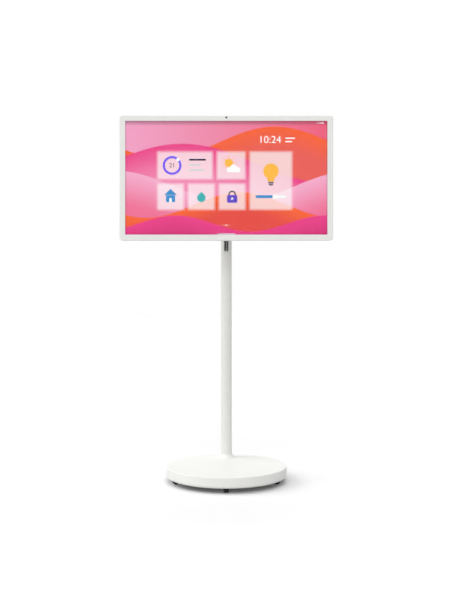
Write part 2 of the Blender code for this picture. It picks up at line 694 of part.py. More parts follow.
def pin_profile(seat, end):
    """Profile of a joint pin with a flat head from its seat up."""
    top = seat + PIN_HEAD_HEIGHT
    return [(0.0, top), (PIN_HEAD_RADIUS - PIN_HEAD_EDGE, top), (PIN_HEAD_RADIUS, top - PIN_HEAD_EDGE),
            (PIN_HEAD_RADIUS, seat), (PIN_RADIUS, seat), (PIN_RADIUS, end), (0.0, end)]


def build_swivel(lift):
    """The yoke that turns left and right on the eye of the arm, with the boss that carries the tilt."""
    swivel = empty("swivel_axis", (0.0, -POLE_TO_SWIVEL, 0.0), lift)
    ear_low = EYE_HALF + FIT
    ear_top = ear_low + EAR_THICKNESS
    web = EYE_RADIUS + YOKE_CLEARANCE
    front = SWIVEL_TO_TILT - BOSS_RADIUS + YOKE_OVERLAP
    half = BOSS_HALF
    ear = [(half, -front)] + arc((0.0, 0.0), (half, half), 0, 180, 10) + [(-half, -front)]
    yoke = part(box("swivel_yoke", (-half, -front, -ear_top), (half, -web, ear_top)), swivel, "white_coating")
    join(yoke, prism("yoke_ear_upper", "Z", ear, ear_low, ear_top))
    join(yoke, prism("yoke_ear_lower", "Z", ear, -ear_top, -ear_low))
    centre = (-SWIVEL_TO_TILT, 0.0)
    join(yoke, rod("yoke_boss", "X", BOSS_RADIUS, -half, half, centre=centre, steps=24))
    cut(yoke, rod("yoke_pin_bore", "Z", PIN_RADIUS + GAP, -ear_top - PAST, ear_top + PAST, steps=16))
    cut(yoke, rod("yoke_tilt_bore", "X", PIN_RADIUS + GAP, -half - PAST, half + PAST, centre=centre,
                  steps=16))
    part(turned("swivel_pin", pin_profile(ear_top + GAP, -ear_top - PIN_END), 16), swivel, "steel")
    return swivel


def build_tilt(swivel):
    """The head that tilts on the boss, and the shaft that the display turns on."""
    tilt = empty("tilt_axis", (0.0, -SWIVEL_TO_TILT, 0.0), swivel)
    ear_in = BOSS_HALF + GAP + WASHER_THICKNESS + GAP
    ear_out = ear_in + EAR_THICKNESS
    for name, side in (("friction_washer_left", -1), ("friction_washer_right", 1)):
        ring = tube(name, PIN_RADIUS + GAP, BOSS_RADIUS - WASHER_INSET, -WASHER_THICKNESS / 2,
                    WASHER_THICKNESS / 2, 20)
        ring.location = (side * (BOSS_HALF + GAP + WASHER_THICKNESS / 2), 0.0, 0.0)
        part(lie_across(ring), tilt, "steel")
    hub_back = BOSS_RADIUS + HUB_CLEARANCE
    hub_front = hub_back + HUB_THICKNESS
    shaft_end = TILT_TO_HOUSING - SHAFT_SHORT
    hub = turned("tilt_head", [(0.0, shaft_end), (SHAFT_RADIUS, shaft_end), (SHAFT_RADIUS, hub_front),
                               (HUB_RADIUS, hub_front), (HUB_RADIUS, hub_back + HUB_EDGE),
                               (HUB_RADIUS - HUB_EDGE, hub_back), (0.0, hub_back)], 28)
    head = part(face_screen(hub), tilt, "white_coating")
    reach = hub_back + SINK
    for side, low, high in (("left", -ear_out, -ear_in), ("right", ear_in, ear_out)):
        ear = [(0.0, -BOSS_RADIUS), (-reach, -BOSS_RADIUS), (-reach, BOSS_RADIUS), (0.0, BOSS_RADIUS)]
        ear += arc((0.0, 0.0), (BOSS_RADIUS, BOSS_RADIUS), 90, -90, 12)[1:-1]
        join(head, prism(f"head_ear_{side}", "X", ear, low, high))
    cut(head, rod("head_bore", "X", PIN_RADIUS + GAP, -ear_out - PAST, ear_out + PAST, steps=16))
    pin = turned("tilt_pin", pin_profile(ear_out + GAP, -ear_out - PIN_END), 16)
    part(lie_across(pin), tilt, "steel")

    low = hub_front + GAP
    high = low + PIVOT_WASHER_THICKNESS
    ring = tube("pivot_washer", SHAFT_RADIUS + GAP, HUB_RADIUS - PIVOT_WASHER_INSET, low, high, 24)
    part(face_screen(ring), tilt, "white_acetal")
    plate_back = high + GAP
    plate_front = plate_back + VESA_THICKNESS
    keeper = tube("pivot_retainer", SHAFT_RADIUS + GAP, RETAINER_RADIUS, plate_front + GAP, shaft_end, 24)
    part(face_screen(keeper), tilt, "steel")
    return tilt, plate_back, plate_front


def build_display(tilt, plate_back, plate_front):
    """The screen, its frame and cover, and what is inside them. Y runs back from the front of the frame."""
    depth = TILT_TO_HOUSING + DISPLAY_DEPTH
    display = empty("turn_axis", (0.0, -depth, 0.0), tilt)
    low = depth - plate_front
    vesa = part(slab("vesa_plate", "Y", (VESA_SIZE, VESA_SIZE), low, depth - plate_back,
                     corner=VESA_CORNER, steps=4), display, "steel")
    half = VESA_SPACING / 2
    corners = [(x, z) for x in (-half, half) for z in (-half, half)]
    for place in corners:
        join(vesa, rod("plate_post", "Y", VESA_POST_RADIUS, DISPLAY_DEPTH + GAP, low + SINK, centre=place,
                       steps=12))
    for place in corners:
        cut(vesa, rod("plate_screw_hole", "Y", VESA_HOLE_RADIUS, DISPLAY_DEPTH - PAST, depth, centre=place,
                      steps=8))
    cut(vesa, rod("plate_bore", "Y", SHAFT_RADIUS + GAP, DISPLAY_DEPTH - PAST, depth, steps=24))

    build_bezel(display)
    build_panel(display)
    cover = build_rear_cover(display)
    build_electronics(display, cover)
    build_buttons(display, cover)


def build_bezel(display):
    size = (DISPLAY_WIDTH, DISPLAY_HEIGHT)
    bezel = part(slab("front_bezel", "Y", size, 0.0, BEZEL_DEPTH, corner=DISPLAY_CORNER, low_edge=BEZEL_EDGE),
                 display, "white_plastic")
    middle = (0.0, SCREEN_SHIFT)
    behind = BEZEL_DEPTH + PAST
    cut(bezel, slab("bezel_opening", "Y", (SCREEN_WIDTH, SCREEN_HEIGHT), -PAST, behind, centre=middle))
    wide = 4 * BEZEL_CHAMFER
    cone = slab("bezel_chamfer", "Y", (SCREEN_WIDTH + wide, SCREEN_HEIGHT + wide), -BEZEL_CHAMFER,
                BEZEL_CHAMFER, centre=middle)
    for vert in cone.data.vertices:
        if vert.co.y > 0:
            vert.co.x *= SCREEN_WIDTH / (SCREEN_WIDTH + wide)
            vert.co.z = SCREEN_SHIFT + (vert.co.z - SCREEN_SHIFT) * SCREEN_HEIGHT / (SCREEN_HEIGHT + wide)
    cut(bezel, cone)
    rebate = 2 * (GLASS_OVERLAP + GAP)
    cut(bezel, slab("bezel_rebate", "Y", (SCREEN_WIDTH + rebate, SCREEN_HEIGHT + rebate), BEZEL_LIP, behind,
                    centre=middle))
    camera = (0.0, DISPLAY_HEIGHT / 2 - CAMERA_DROP)
    cut(bezel, rod("camera_hole", "Y", CAMERA_HOLE_RADIUS, -PAST, behind, centre=camera, steps=20))
    cut(bezel, slab("camera_pocket", "Y", CAMERA_POCKET, BEZEL_LIP, behind, centre=camera))

    part(rod("camera_lens", "Y", CAMERA_HOLE_RADIUS - GAP, CAMERA_RECESS, BEZEL_LIP, centre=camera, steps=20),
         display, "clear_glass")
    block = (CAMERA_POCKET[0] - 2 * GAP, CAMERA_POCKET[1] - 2 * GAP)
    module = part(slab("camera_module", "Y", block, CAMERA_MODULE_FRONT, BEZEL_DEPTH, centre=camera), display,
                  "black_plastic")
    join(module, rod("camera_barrel", "Y", CAMERA_BARREL_RADIUS, BEZEL_LIP + GAP, CAMERA_MODULE_FRONT + SINK,
                     centre=camera, steps=20))


def build_panel(display):
    middle = (0.0, SCREEN_SHIFT)
    whole = (SCREEN_WIDTH + 2 * GLASS_OVERLAP, SCREEN_HEIGHT + 2 * GLASS_OVERLAP)
    inside = (whole[0] - 2 * TRAY_WALL - 2 * GAP, whole[1] - 2 * TRAY_WALL - 2 * GAP)
    part(slab("touch_glass", "Y", whole, GLASS_FRONT, GLASS_FRONT + GLASS_THICKNESS, centre=middle), display,
         "clear_glass")
    part(slab("lcd_cell", "Y", whole, LCD_FRONT, LCD_FRONT + LCD_THICKNESS, centre=middle), display, "screen")
    part(slab("light_guide", "Y", inside, LIGHT_FRONT, LIGHT_FRONT + LIGHT_GUIDE_THICKNESS, centre=middle),
         display, "acrylic")
    tray = part(slab("backlight_tray", "Y", whole, LIGHT_FRONT, TRAY_BACK, centre=middle), display,
                "aluminium")
    hollow = (inside[0] + 2 * GAP, inside[1] + 2 * GAP)
    cut(tray, slab("tray_hollow", "Y", hollow, LIGHT_FRONT - PAST, TRAY_FLOOR, centre=middle))


def build_rear_cover(display):
    front = BEZEL_DEPTH + GAP
    size = (DISPLAY_WIDTH, DISPLAY_HEIGHT)
    housing = (HOUSING_WIDTH, HOUSING_HEIGHT)
    thin = 2 * COVER_WALL
    cover = part(slab("rear_cover", "Y", size, front, RIM_DEPTH, corner=DISPLAY_CORNER, high_edge=RIM_EDGE),
                 display, "white_plastic")
    join(cover, slab("housing", "Y", housing, RIM_DEPTH - COVER_WALL / 2, DISPLAY_DEPTH,
                     corner=HOUSING_CORNER, high_edge=HOUSING_EDGE, steps=6))
    cut(cover, slab("rim_hollow", "Y", (size[0] - thin, size[1] - thin), front - PAST,
                    RIM_DEPTH - COVER_WALL, corner=DISPLAY_CORNER - COVER_WALL,
                    high_edge=RIM_EDGE - COVER_WALL))
    cut(cover, slab("housing_hollow", "Y", (housing[0] - thin, housing[1] - thin), front - PAST,
                    HOUSING_INNER, corner=HOUSING_CORNER - COVER_WALL, high_edge=HOUSING_EDGE - COVER_WALL,
                    steps=6))
    for side in (-1, 1):
        place = (side * SPEAKER_PLACE[0], SPEAKER_PLACE[1])
        cut_slots(cover, "speaker_slot", place, SPEAKER_SLOT, SPEAKER_SLOTS, SPEAKER_SLOT_PITCH)
    cut_slots(cover, "vent_slot", VENT_PLACE, VENT_SLOT, VENT_SLOTS, VENT_SLOT_PITCH)
    return cover


def cut_slots(cover, name, place, size, count, pitch):
    """Cuts a row of upright slots through the back of the housing."""
    for k in range(count):
        x = place[0] + (k - (count - 1) / 2) * pitch
        cut(cover, slab(name, "Y", size, HOUSING_INNER - PAST, DISPLAY_DEPTH + PAST, centre=(x, place[1])))


def build_electronics(display, cover):
    wall = HOUSING_WIDTH / 2
    board_front = RIM_DEPTH + BOARD_LIFT
    board_back = board_front + BOARD_THICKNESS
    post = TRAY_BACK + GAP
    left = -wall + COVER_WALL + BOARD_GAP
    right = -BOARD_INSET
    half = BOARD_HEIGHT / 2
    board = part(box("main_board", (left, board_front, -half), (right, board_back, half)), display,
                 "circuit_board")
    for x in (left + BOARD_POST_INSET, right - BOARD_POST_INSET):
        for z in (-half + BOARD_POST_INSET, half - BOARD_POST_INSET):
            join(board, rod("board_post", "Y", BOARD_POST_RADIUS, post, board_front + SINK, centre=(x, z),
                            steps=12))
    wide = right - left
    for near, far, height in MAIN_CHIPS:
        join(board, box("chip", (left + near[0] * wide, board_back - SINK, -half + near[1] * BOARD_HEIGHT),
                        (left + far[0] * wide, board_back + height, -half + far[1] * BOARD_HEIGHT)))

    for name, mouth, z in (("hdmi_socket", HDMI_MOUTH, HDMI_Z), ("usb_socket", USB_MOUTH, USB_Z)):
        low = board_back + GAP
        middle = (low + SOCKET_WALL + mouth[1] / 2, z)
        shell = (mouth[1] + 2 * SOCKET_WALL, mouth[0] + 2 * SOCKET_WALL)
        mouth_size = (mouth[1], mouth[0])
        window = (shell[0] + 2 * GAP, shell[1] + 2 * GAP)
        cut(cover, slab(name + "_window", "X", window, -wall - PAST, -wall + PAST, centre=middle))
        body = part(slab(name, "X", shell, -wall, -wall + SOCKET_LENGTH, centre=middle), display, "steel")
        cut(body, slab(name + "_mouth", "X", mouth_size, -wall - PAST, -wall + SOCKET_DEPTH, centre=middle))

    for name, side in (("speaker_left", -1), ("speaker_right", 1)):
        place = (side * SPEAKER_PLACE[0], SPEAKER_PLACE[1])
        part(slab(name, "Y", SPEAKER_SIZE, TRAY_BACK + SPEAKER_FRONT_GAP, HOUSING_INNER - GAP, centre=place,
                  corner=SPEAKER_CORNER, high_edge=SPEAKER_EDGE, steps=3), display, "black_plastic")


def round_button(name, flange):
    """The round cap with its flange, turned about X. The face of the housing is at zero."""
    radius = BUTTON_HEIGHT / 2
    foot = radius + BUTTON_FLANGE_REACH
    low = flange - BUTTON_FLANGE
    shoulder = BUTTON_PROUD - BUTTON_EDGE
    profile = [(0.0, BUTTON_PROUD), (radius - BUTTON_EDGE, BUTTON_PROUD), (radius, shoulder),
               (radius, flange), (foot, flange), (foot, low), (0.0, low)]
    return lie_across(turned(name, profile, 24))


def long_button(name, flange):
    """The cap of a volume button, without its flange."""
    return slab(name, "X", (BUTTON_HEIGHT, BUTTON_LENGTH), flange - BUTTON_FLANGE / 2, BUTTON_PROUD,
                corner=BUTTON_CORNER, high_edge=BUTTON_EDGE, steps=3)


def build_buttons(display, cover):
    """Three push buttons on the right side of the housing, and the board behind them."""
    wall = HOUSING_WIDTH / 2
    depth = (RIM_DEPTH + DISPLAY_DEPTH - HOUSING_EDGE) / 2
    flange = -COVER_WALL - GAP
    board_face = wall + flange - BUTTON_FLANGE - BUTTON_TRAVEL - SWITCH_HEIGHT - 2 * GAP
    board_back = board_face - BOARD_THICKNESS
    board_low = (board_back, depth - BUTTON_BOARD_FRONT, BUTTONS_Z - BUTTON_BOARD_HALF)
    board_high = (board_face, HOUSING_INNER - GAP, BUTTONS_Z + BUTTON_BOARD_HALF)
    board = part(box("button_board", board_low, board_high), display, "circuit_board")
    names = ("power_button", "volume_up_button", "volume_down_button")
    for name, step in zip(names, (1, 0, -1)):
        place = (depth, BUTTONS_Z + step * BUTTON_PITCH)
        press = empty(name + "_axis", (wall, *place), display)
        low = wall - COVER_WALL - PAST
        high = wall + PAST
        if step == 1:
            hole = rod(name + "_hole", "X", BUTTON_HEIGHT / 2 + GAP, low, high, centre=place, steps=24)
            part(round_button(name, flange), press, "grey_plastic")
        else:
            size = (BUTTON_HEIGHT + 2 * GAP, BUTTON_LENGTH + 2 * GAP)
            hole = slab(name + "_hole", "X", size, low, high, centre=place, corner=BUTTON_CORNER + GAP,
                        steps=3)
            cap = part(long_button(name, flange), press, "grey_plastic")
            foot = (BUTTON_HEIGHT + 2 * BUTTON_FLANGE_REACH, BUTTON_LENGTH + 2 * BUTTON_FLANGE_REACH)
            join(cap, slab(name + "_flange", "X", foot, flange - BUTTON_FLANGE, flange, corner=BUTTON_CORNER,
                           steps=3))
        cut(cover, hole)
        join(board, slab(name + "_switch", "X", SWITCH_SIZE, board_face - SINK, board_face + SWITCH_HEIGHT,
                         centre=place))


def main():
    stand = empty("stand", (0.0, 0.0, 0.0))
    build_base(stand)
    build_casters(stand)
    build_pole(stand)
    lift = build_carriage(stand)
    swivel = build_swivel(lift)
    tilt, plate_back, plate_front = build_tilt(swivel)
    build_display(tilt, plate_back, plate_front)


main()
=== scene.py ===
"""Looks of a rolling smart display: white plastic and coated metal, a lit screen and black casters."""

import json
import math

import bpy
from mathutils import Matrix, Vector


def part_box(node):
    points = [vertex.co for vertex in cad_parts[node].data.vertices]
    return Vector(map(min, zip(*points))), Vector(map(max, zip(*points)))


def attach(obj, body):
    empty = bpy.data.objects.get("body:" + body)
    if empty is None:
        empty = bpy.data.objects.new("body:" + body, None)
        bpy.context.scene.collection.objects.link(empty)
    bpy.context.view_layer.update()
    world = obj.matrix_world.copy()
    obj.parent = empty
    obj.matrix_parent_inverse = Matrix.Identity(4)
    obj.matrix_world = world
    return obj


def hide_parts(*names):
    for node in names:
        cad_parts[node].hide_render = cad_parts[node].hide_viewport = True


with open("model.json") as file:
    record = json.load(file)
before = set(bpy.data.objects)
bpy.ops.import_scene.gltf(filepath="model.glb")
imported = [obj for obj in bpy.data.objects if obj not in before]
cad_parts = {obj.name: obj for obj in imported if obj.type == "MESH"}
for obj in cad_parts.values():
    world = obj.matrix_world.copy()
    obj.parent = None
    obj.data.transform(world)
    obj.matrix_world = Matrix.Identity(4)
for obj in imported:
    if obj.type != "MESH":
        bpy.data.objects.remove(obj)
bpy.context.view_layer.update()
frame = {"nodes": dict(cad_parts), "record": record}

# Camera: level, straight in front. The offset is in pixels of the photograph, right of its middle.
PHOTO_HEIGHT = 600
OBJECT_OFFSET = 1.8
CAMERA_LENS = 50.0
CAMERA_PLACE = (0.0, -2.911, 0.6308)

# Light: lamps as strength, (tip from straight down, turn to the side) in degrees, softness in degrees
SKY_FILL = 0.40
LAMPS = (
    ("key_light", 1.45, (54.0, -94.0), 45.0),
    ("front_light", 1.36, (56.0, -4.0), 64.0),
    ("top_light", 0.75, (15.0, 180.0), 40.0),
)
FLOOR_SEEN = (0.86, 0.86, 0.86, 1.0)
FLOOR_BOUNCE = (0.62, 0.62, 0.62, 1.0)
FLOOR_LIFT = 0.05
FLOOR_SIZE = 60.0

# Display. All sizes are in metres.
GAP = 0.0003
GLASS_OVERLAP = 0.003
GLASS_EDGE = 0.0003
BEZEL_LIP = 0.0018
BEZEL_CHAMFER = 0.001
BEZEL_EDGE = 0.003
LENS_EDGE = 0.0004
DISPLAY_CORNER = 0.012
RIM_DEPTH = 0.022
RIM_EDGE = 0.006
HOUSING_WIDTH = 0.46
HOUSING_HEIGHT = 0.26
HOUSING_CORNER = 0.03
HOUSING_EDGE = 0.006
HOUSING_FILLET = 0.003
COVER_WALL = 0.0025
BUTTON_HEIGHT = 0.006
BUTTON_LENGTH = 0.014
BUTTON_EDGE = 0.0006
BUTTON_FLANGE = 0.0016
BUTTONS = {
    "power_button": BUTTON_HEIGHT,
    "volume_up_button": BUTTON_LENGTH,
    "volume_down_button": BUTTON_LENGTH,
}
TONGUES = {"hdmi_socket": 0.0012, "usb_socket": 0.002}
TONGUE_START = 0.0018
TONGUE_END = 0.0095
TONGUE_INSET = 0.0022

# Vents and speaker slots in the housing: (x, z) of a row's middle, (width, height) of a slot, count
SLOT_PITCH = 0.008
SLOT_ROWS = (
    ((0.0, 0.102), (0.003, 0.012), 18),
    ((-0.15, -0.092), (0.003, 0.018), 8),
    ((0.15, -0.092), (0.003, 0.018), 8),
)

# Screw heads as (radius, height)
PLATE_SCREW = (0.0034, 0.0016)
COVER_SCREW = (0.0026, 0.0008)
BOTTOM_SCREW = (0.003, 0.001)
SCREW_EDGE = 0.35
SCREW_SOCKET_WIDTH = 0.52
SCREW_SOCKET_FLOOR = 0.35
COVER_SCREW_INSET = 0.019
BOTTOM_SCREW_OUT = 0.01

# Mounting plate and neck
VESA_SPACING = 0.1
VESA_THICKNESS = 0.0036
PLATE_CORNER = 0.008
PLATE_BORE = 0.0093
POST_RADIUS = 0.007
SWIVEL_Y = 0.105
TILT_Y = 0.078
EYE_HALF = 0.0128
EYE_RADIUS = 0.012
EAR_THICKNESS = 0.0066
EAR_SINK = 0.0015
BOSS_HALF = 0.0125
BOSS_RADIUS = 0.011
HUB_CLEARANCE = 0.002
HUB_DEPTH = 0.0058
HUB_EDGE = 0.0016
HUB_CHAMFER = 0.0006
SHAFT_RADIUS = 0.009
WASHER_THICKNESS = 0.001
YOKE_OVERLAP = 0.004
WEB_CLEARANCE = 0.0018
ARM_ROOT = 0.002
ARM_WAIST = 0.011
ARM_HALF_WIDTH = 0.006
PIN_RADIUS = 0.004
PIN_CHAMFER = 0.0005
PIN_HEAD_RADIUS = 0.007
PIN_HEAD_HEIGHT = 0.002
PIN_HEAD_EDGE = 0.0015

# Pole
POLE_WALL = 0.002
SLOT_WIDTH = 0.0145
SLOT_CORNER = 0.0025
SLOT_LOW_Z = 0.8092
SLOT_HIGH_Z = 1.0816
CHANNEL_WALL = 0.0017
CAP_EDGE = 0.004
CAP_HEIGHT = 0.006
ROD_RADIUS = 0.004
ROD_CHAMFER = 0.0005
ROD_EYE_HEIGHT = 0.006

# Base
BASE_LOW_CURVE = 0.0096
BASE_LOW_SWEEP = 70.0
BASE_TOP_EDGE = 0.003
BASE_TOP_Z = 0.0544
BASE_WALL = 0.003
FLARE_RADIUS = 0.042
FLARE_LIP = 0.0009
FLARE_SWEEP = 84.0
FLARE_SINK = 0.0002
INLET_RADIUS = 0.0053
INLET_DEPTH = 0.012

# Casters. A wheel's dished side goes from the bore out as (radius, depth below its widest place), and
# a groove of its tread as (place along the axle, depth).
CASTER_COUNT = 5
CASTER_CIRCLE = 0.1715
CASTER_TRAIL = 0.0105
CASTER_WINDOW = 0.0242
FORK_WALL = 0.0022
FORK_CLEARANCE = 0.0012
FORK_PLATE = 0.0045
FORK_CORNER = 0.004
FORK_EDGE = 0.0004
FORK_STEP = 0.0003
FORK_SINK = 0.001
FORK_COLLAR_Z = 0.0332
FORK_COLLAR_RADIUS = 0.008
STEM_RADIUS = 0.004
CHEEK_REACH = 0.0055
CHEEK_ROUND = 0.0051
WEB_REACH = 0.0045
WEB_DROP = 0.006
WEB_ROUND = 0.004
WHEEL_RADIUS = 0.012
AXLE_RADIUS = 0.002
WHEEL_SIDE = ((AXLE_RADIUS + GAP, 0.0012), (0.0044, 0.0012), (0.0048, 0.0018), (0.0078, 0.0016),
              (0.0084, 0.0003))
TREAD_LIP = 0.0004
TREAD_LIP_RADIUS = 0.0088
TREAD_EDGE = 0.0018
TREAD_GROOVE = ((0.0026, 0.0), (0.0023, 0.0005), (0.0017, 0.0005), (0.0014, 0.0))

# Forms: how far a cutter goes past a face, how close two places are the same, broken edges, the share
# of a half width that rounds an end, and the facets of round things
PAST = 0.01
BORE_REACH = 0.04
AXLE_REACH = 0.02
TINY = 0.00001
SOFT_EDGE = 0.0005
FINE_EDGE = 0.0002
SOFT_STEPS = 2
SOFT_ANGLE = 40.0
SMOOTH_ANGLE = 35.0
SLOT_END = 0.98
BUTTON_END = 0.985
BUTTON_FOOT_END = 0.9
EAR_END = 0.995
FACETS_TINY = 32
FACETS_SMALL = 48
FACETS = 64
FACETS_WHEEL = 72
FACETS_LARGE = 96
FACETS_POLE = 128
FACETS_BASE = 160
AXES = {"X": 0, "Y": 1, "Z": 2}
TURNS = {"X": (0.0, math.pi / 2, 0.0), "Y": (math.pi / 2, 0.0, 0.0), "Z": (0.0, 0.0, 0.0)}

# Finishes: the noise that counts, the grain, and how much broader mottles and uneven gloss are than it
NOISE_LOW = 0.3
NOISE_HIGH = 0.7
GRAIN = 700.0
GRAIN_DEPTH = 0.00003
MOTTLE_BREADTH = 40
MOTTLE_SPREAD = 0.012
GLOSS_BREADTH = 8
GLOSS_SPREAD = 0.05
BUMP_STRENGTH = 0.4
SMEARS = 9.0
SMEAR_SPREAD = 0.02
CLEAR_IOR = 1.15
TRACKS = 120.0
TRACK_WIDTH = 0.06

# Waves of the screen's background: middle height, swing, radians per metre, phase, colour at the crest,
# colour further in, and the depth over which the one turns into the other
WAVES = (
    (0.125, 0.055, 8.0, 0.2, (246, 96, 46), (232, 92, 84), 0.09),
    (0.050, 0.070, 6.0, 2.5, (234, 62, 134), (242, 138, 178), 0.13),
    (-0.030, 0.055, 7.5, 4.5, (244, 172, 204), (238, 112, 150), 0.12),
    (-0.095, 0.045, 9.5, 1.1, (247, 100, 46), (228, 72, 62), 0.07),
    (-0.160, 0.028, 12.0, 3.7, (234, 58, 136), (214, 44, 118), 0.06),
)
WAVE_SHARPNESS = 1500.0
SKY_LEFT = (240, 160, 195)
SKY_RIGHT = (236, 92, 124)
# Painted shade of the bezel's lip on the lit picture, as the share of darkening at the edge and the depth
# over which it fades: deeper along the top, where it also serves as the status bar's dark band, and a little
# along the other edges
TOP_SHADE = 0.55
TOP_FADE = 0.018
EDGE_SHADE = 0.30
EDGE_FADE = 0.006
# The ink's darkening towards the bottom of the picture: its rate per metre, and how far below the middle it
# is half done
INK_FADE = 9.0
INK_FADE_DROP = 0.02

# Screen contents, from the middle of the picture: plain cards as two corners, and the clock
LAYER = 0.00003
CARDS = {
    "dial_card": ((-0.245, -0.008), (-0.045, 0.095)),
    "weather_card": ((-0.036, -0.008), (0.07, 0.095)),
    "lamp_card": ((0.079, -0.115), (0.234, 0.095)),
    "small_card_1": ((-0.245, -0.115), (-0.146, -0.017)),
    "small_card_2": ((-0.137, -0.115), (-0.038, -0.017)),
    "small_card_3": ((-0.029, -0.115), (0.07, -0.017)),
}
CARD_RIM = 0.006
CARD_CORNER = 0.006
CARD_INNER_CORNER = 0.0045
CLOCK_PLACE = (0.153, 0.133)

# Places read from the frame
BEZEL_LOW, BEZEL_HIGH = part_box("front_bezel")
COVER_LOW, COVER_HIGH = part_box("rear_cover")
GLASS_LOW, GLASS_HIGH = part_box("touch_glass")
LCD_LOW, LCD_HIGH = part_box("lcd_cell")
LENS_LOW, LENS_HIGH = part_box("camera_lens")
MODULE_LOW, MODULE_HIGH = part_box("camera_module")
PLATE_LOW, PLATE_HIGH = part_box("vesa_plate")
HEAD_LOW, HEAD_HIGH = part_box("tilt_head")
ARM_LOW, ARM_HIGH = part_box("neck_arm")
TUBE_LOW, TUBE_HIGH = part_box("pole_tube")
CHANNEL_LOW, CHANNEL_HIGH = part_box("guide_channel")
CAP_LOW, CAP_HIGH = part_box("pole_cap")
ROD_LOW, ROD_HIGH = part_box("gas_spring_rod")
BASE_LOW, BASE_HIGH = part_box("base_cover")
BOTTOM_LOW, BOTTOM_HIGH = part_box("bottom_cover")
INLET_LOW, INLET_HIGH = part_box("dc_inlet")
FORK_LOW, FORK_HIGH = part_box("caster_fork_1")
WHEEL_LOW, WHEEL_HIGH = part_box("caster_wheel_1")

FRONT_Y = BEZEL_LOW.y
RIM_BACK = FRONT_Y + RIM_DEPTH
CENTRE_Z = (BEZEL_LOW.z + BEZEL_HIGH.z) / 2
PICTURE_LOW = GLASS_LOW + Vector((GLASS_OVERLAP, 0.0, GLASS_OVERLAP))
PICTURE_HIGH = GLASS_HIGH - Vector((GLASS_OVERLAP, 0.0, GLASS_OVERLAP))
PICTURE_Z = (PICTURE_LOW.z + PICTURE_HIGH.z) / 2
PICTURE_HALF = ((PICTURE_HIGH.x - PICTURE_LOW.x) / 2, (PICTURE_HIGH.z - PICTURE_LOW.z) / 2)
POLE_RADIUS = (TUBE_HIGH.x - TUBE_LOW.x) / 2
POLE_Y = (TUBE_LOW.y + TUBE_HIGH.y) / 2
POLE_SPOT = (0.0, POLE_Y)
BASE_RADIUS = (BASE_HIGH.x - BASE_LOW.x) / 2


def mode(name):
    bpy.ops.object.mode_set(mode=name)


def deselect():
    if bpy.context.mode != "OBJECT":
        mode("OBJECT")
    bpy.ops.object.select_all(action="DESELECT")


def only(obj):
    """Leaves obj the one selected and active object."""
    deselect()
    obj.select_set(True)
    bpy.context.view_layer.objects.active = obj


def settle(name):
    """Names the active object and puts its place into its mesh."""
    obj = bpy.context.object
    obj.name = name
    obj.data.name = name
    bpy.ops.object.transform_apply(location=True, rotation=True, scale=True)
    return obj


def apply(obj, modifier):
    only(obj)
    bpy.ops.object.modifier_apply(modifier=modifier.name)
    return obj


def block(name, low, high):
    """A cube stretched between two corners."""
    deselect()
    size = [b - a for a, b in zip(low, high)]
    middle = [(a + b) / 2 for a, b in zip(low, high)]
    bpy.ops.mesh.primitive_cube_add(size=1.0, location=middle, scale=size)
    return settle(name)


def across(axis, u, v, w):
    """A point at (u, v) across an axis and w along it."""
    return Vector({"X": (w, u, v), "Y": (u, w, v), "Z": (u, v, w)}[axis])


def cylinder(name, axis, radius, low, high, centre, steps=FACETS):
    """A cylinder along an axis, from low to high, about the point centre across it."""
    deselect()
    bpy.ops.mesh.primitive_cylinder_add(vertices=steps, radius=radius, depth=high - low, rotation=TURNS[axis],
                                        location=across(axis, *centre, (low + high) / 2))
    return settle(name)


def runs_along(axis):
    """Test for an edge that runs along an axis."""
    others = [k for k in range(3) if k != AXES[axis]]
    return lambda a, b: all(abs(a[k] - b[k]) < TINY for k in others)


def lies_at(axis, level):
    """Test for an edge that lies in a plane across an axis."""
    k = AXES[axis]
    return lambda a, b: abs(a[k] - level) < TINY and abs(b[k] - level) < TINY


def both(first, second):
    """Test for an edge that passes two tests."""
    return lambda a, b: first(a, b) and second(a, b)


def pick_edges(obj, test):
    """Goes into edit mode on obj with just the edges that pass a test selected."""
    only(obj)
    mode("EDIT")
    bpy.ops.mesh.select_mode(type="EDGE")
    bpy.ops.mesh.select_all(action="DESELECT")
    mode("OBJECT")
    places = [v.co for v in obj.data.vertices]
    for edge in obj.data.edges:
        edge.select = test(places[edge.vertices[0]], places[edge.vertices[1]])
    mode("EDIT")


def round_edges(obj, test, radius, steps):
    pick_edges(obj, test)
    bpy.ops.mesh.bevel(offset=radius, segments=steps, affect="EDGES", profile=0.5)
    mode("OBJECT")
    return obj


def slab(name, low, high, axis, corner, steps):
    """A block with its edges along an axis rounded."""
    return round_edges(block(name, low, high), runs_along(axis), corner, steps)


def soften(obj, radius):
    """Breaks the sharp edges of a form."""
    bevel = obj.modifiers.new("soft_edges", "BEVEL")
    bevel.width = radius
    bevel.segments = SOFT_STEPS
    bevel.limit_method = "ANGLE"
    bevel.angle_limit = math.radians(SOFT_ANGLE)
    bevel.use_clamp_overlap = True
    return apply(obj, bevel)


def carve(obj, tool, operation="DIFFERENCE"):
    """Cuts a tool from obj, or joins it on, and takes the tool away."""
    boolean = obj.modifiers.new(tool.name, "BOOLEAN")
    boolean.object = tool
    boolean.operation = operation
    boolean.solver = "EXACT"
    apply(obj, boolean)
    bpy.data.objects.remove(tool)
    return obj


def weld(obj, tool):
    return carve(obj, tool, "UNION")


def drill(obj, axis, radius, low, high, centre, steps):
    """Cuts a round hole."""
    return carve(obj, cylinder("hole", axis, radius, low, high, centre, steps))


def merged(name, pieces):
    """Several loose pieces as one object."""
    deselect()
    for part in pieces:
        part.select_set(True)
    bpy.context.view_layer.objects.active = pieces[0]
    bpy.ops.object.join()
    return settle(name)


def close_mesh(threshold):
    """Merges what lies together in the mesh that is being edited, and turns its faces outwards."""
    bpy.ops.mesh.select_all(action="SELECT")
    bpy.ops.mesh.remove_doubles(threshold=threshold)
    bpy.ops.mesh.normals_make_consistent(inside=False)
    mode("OBJECT")


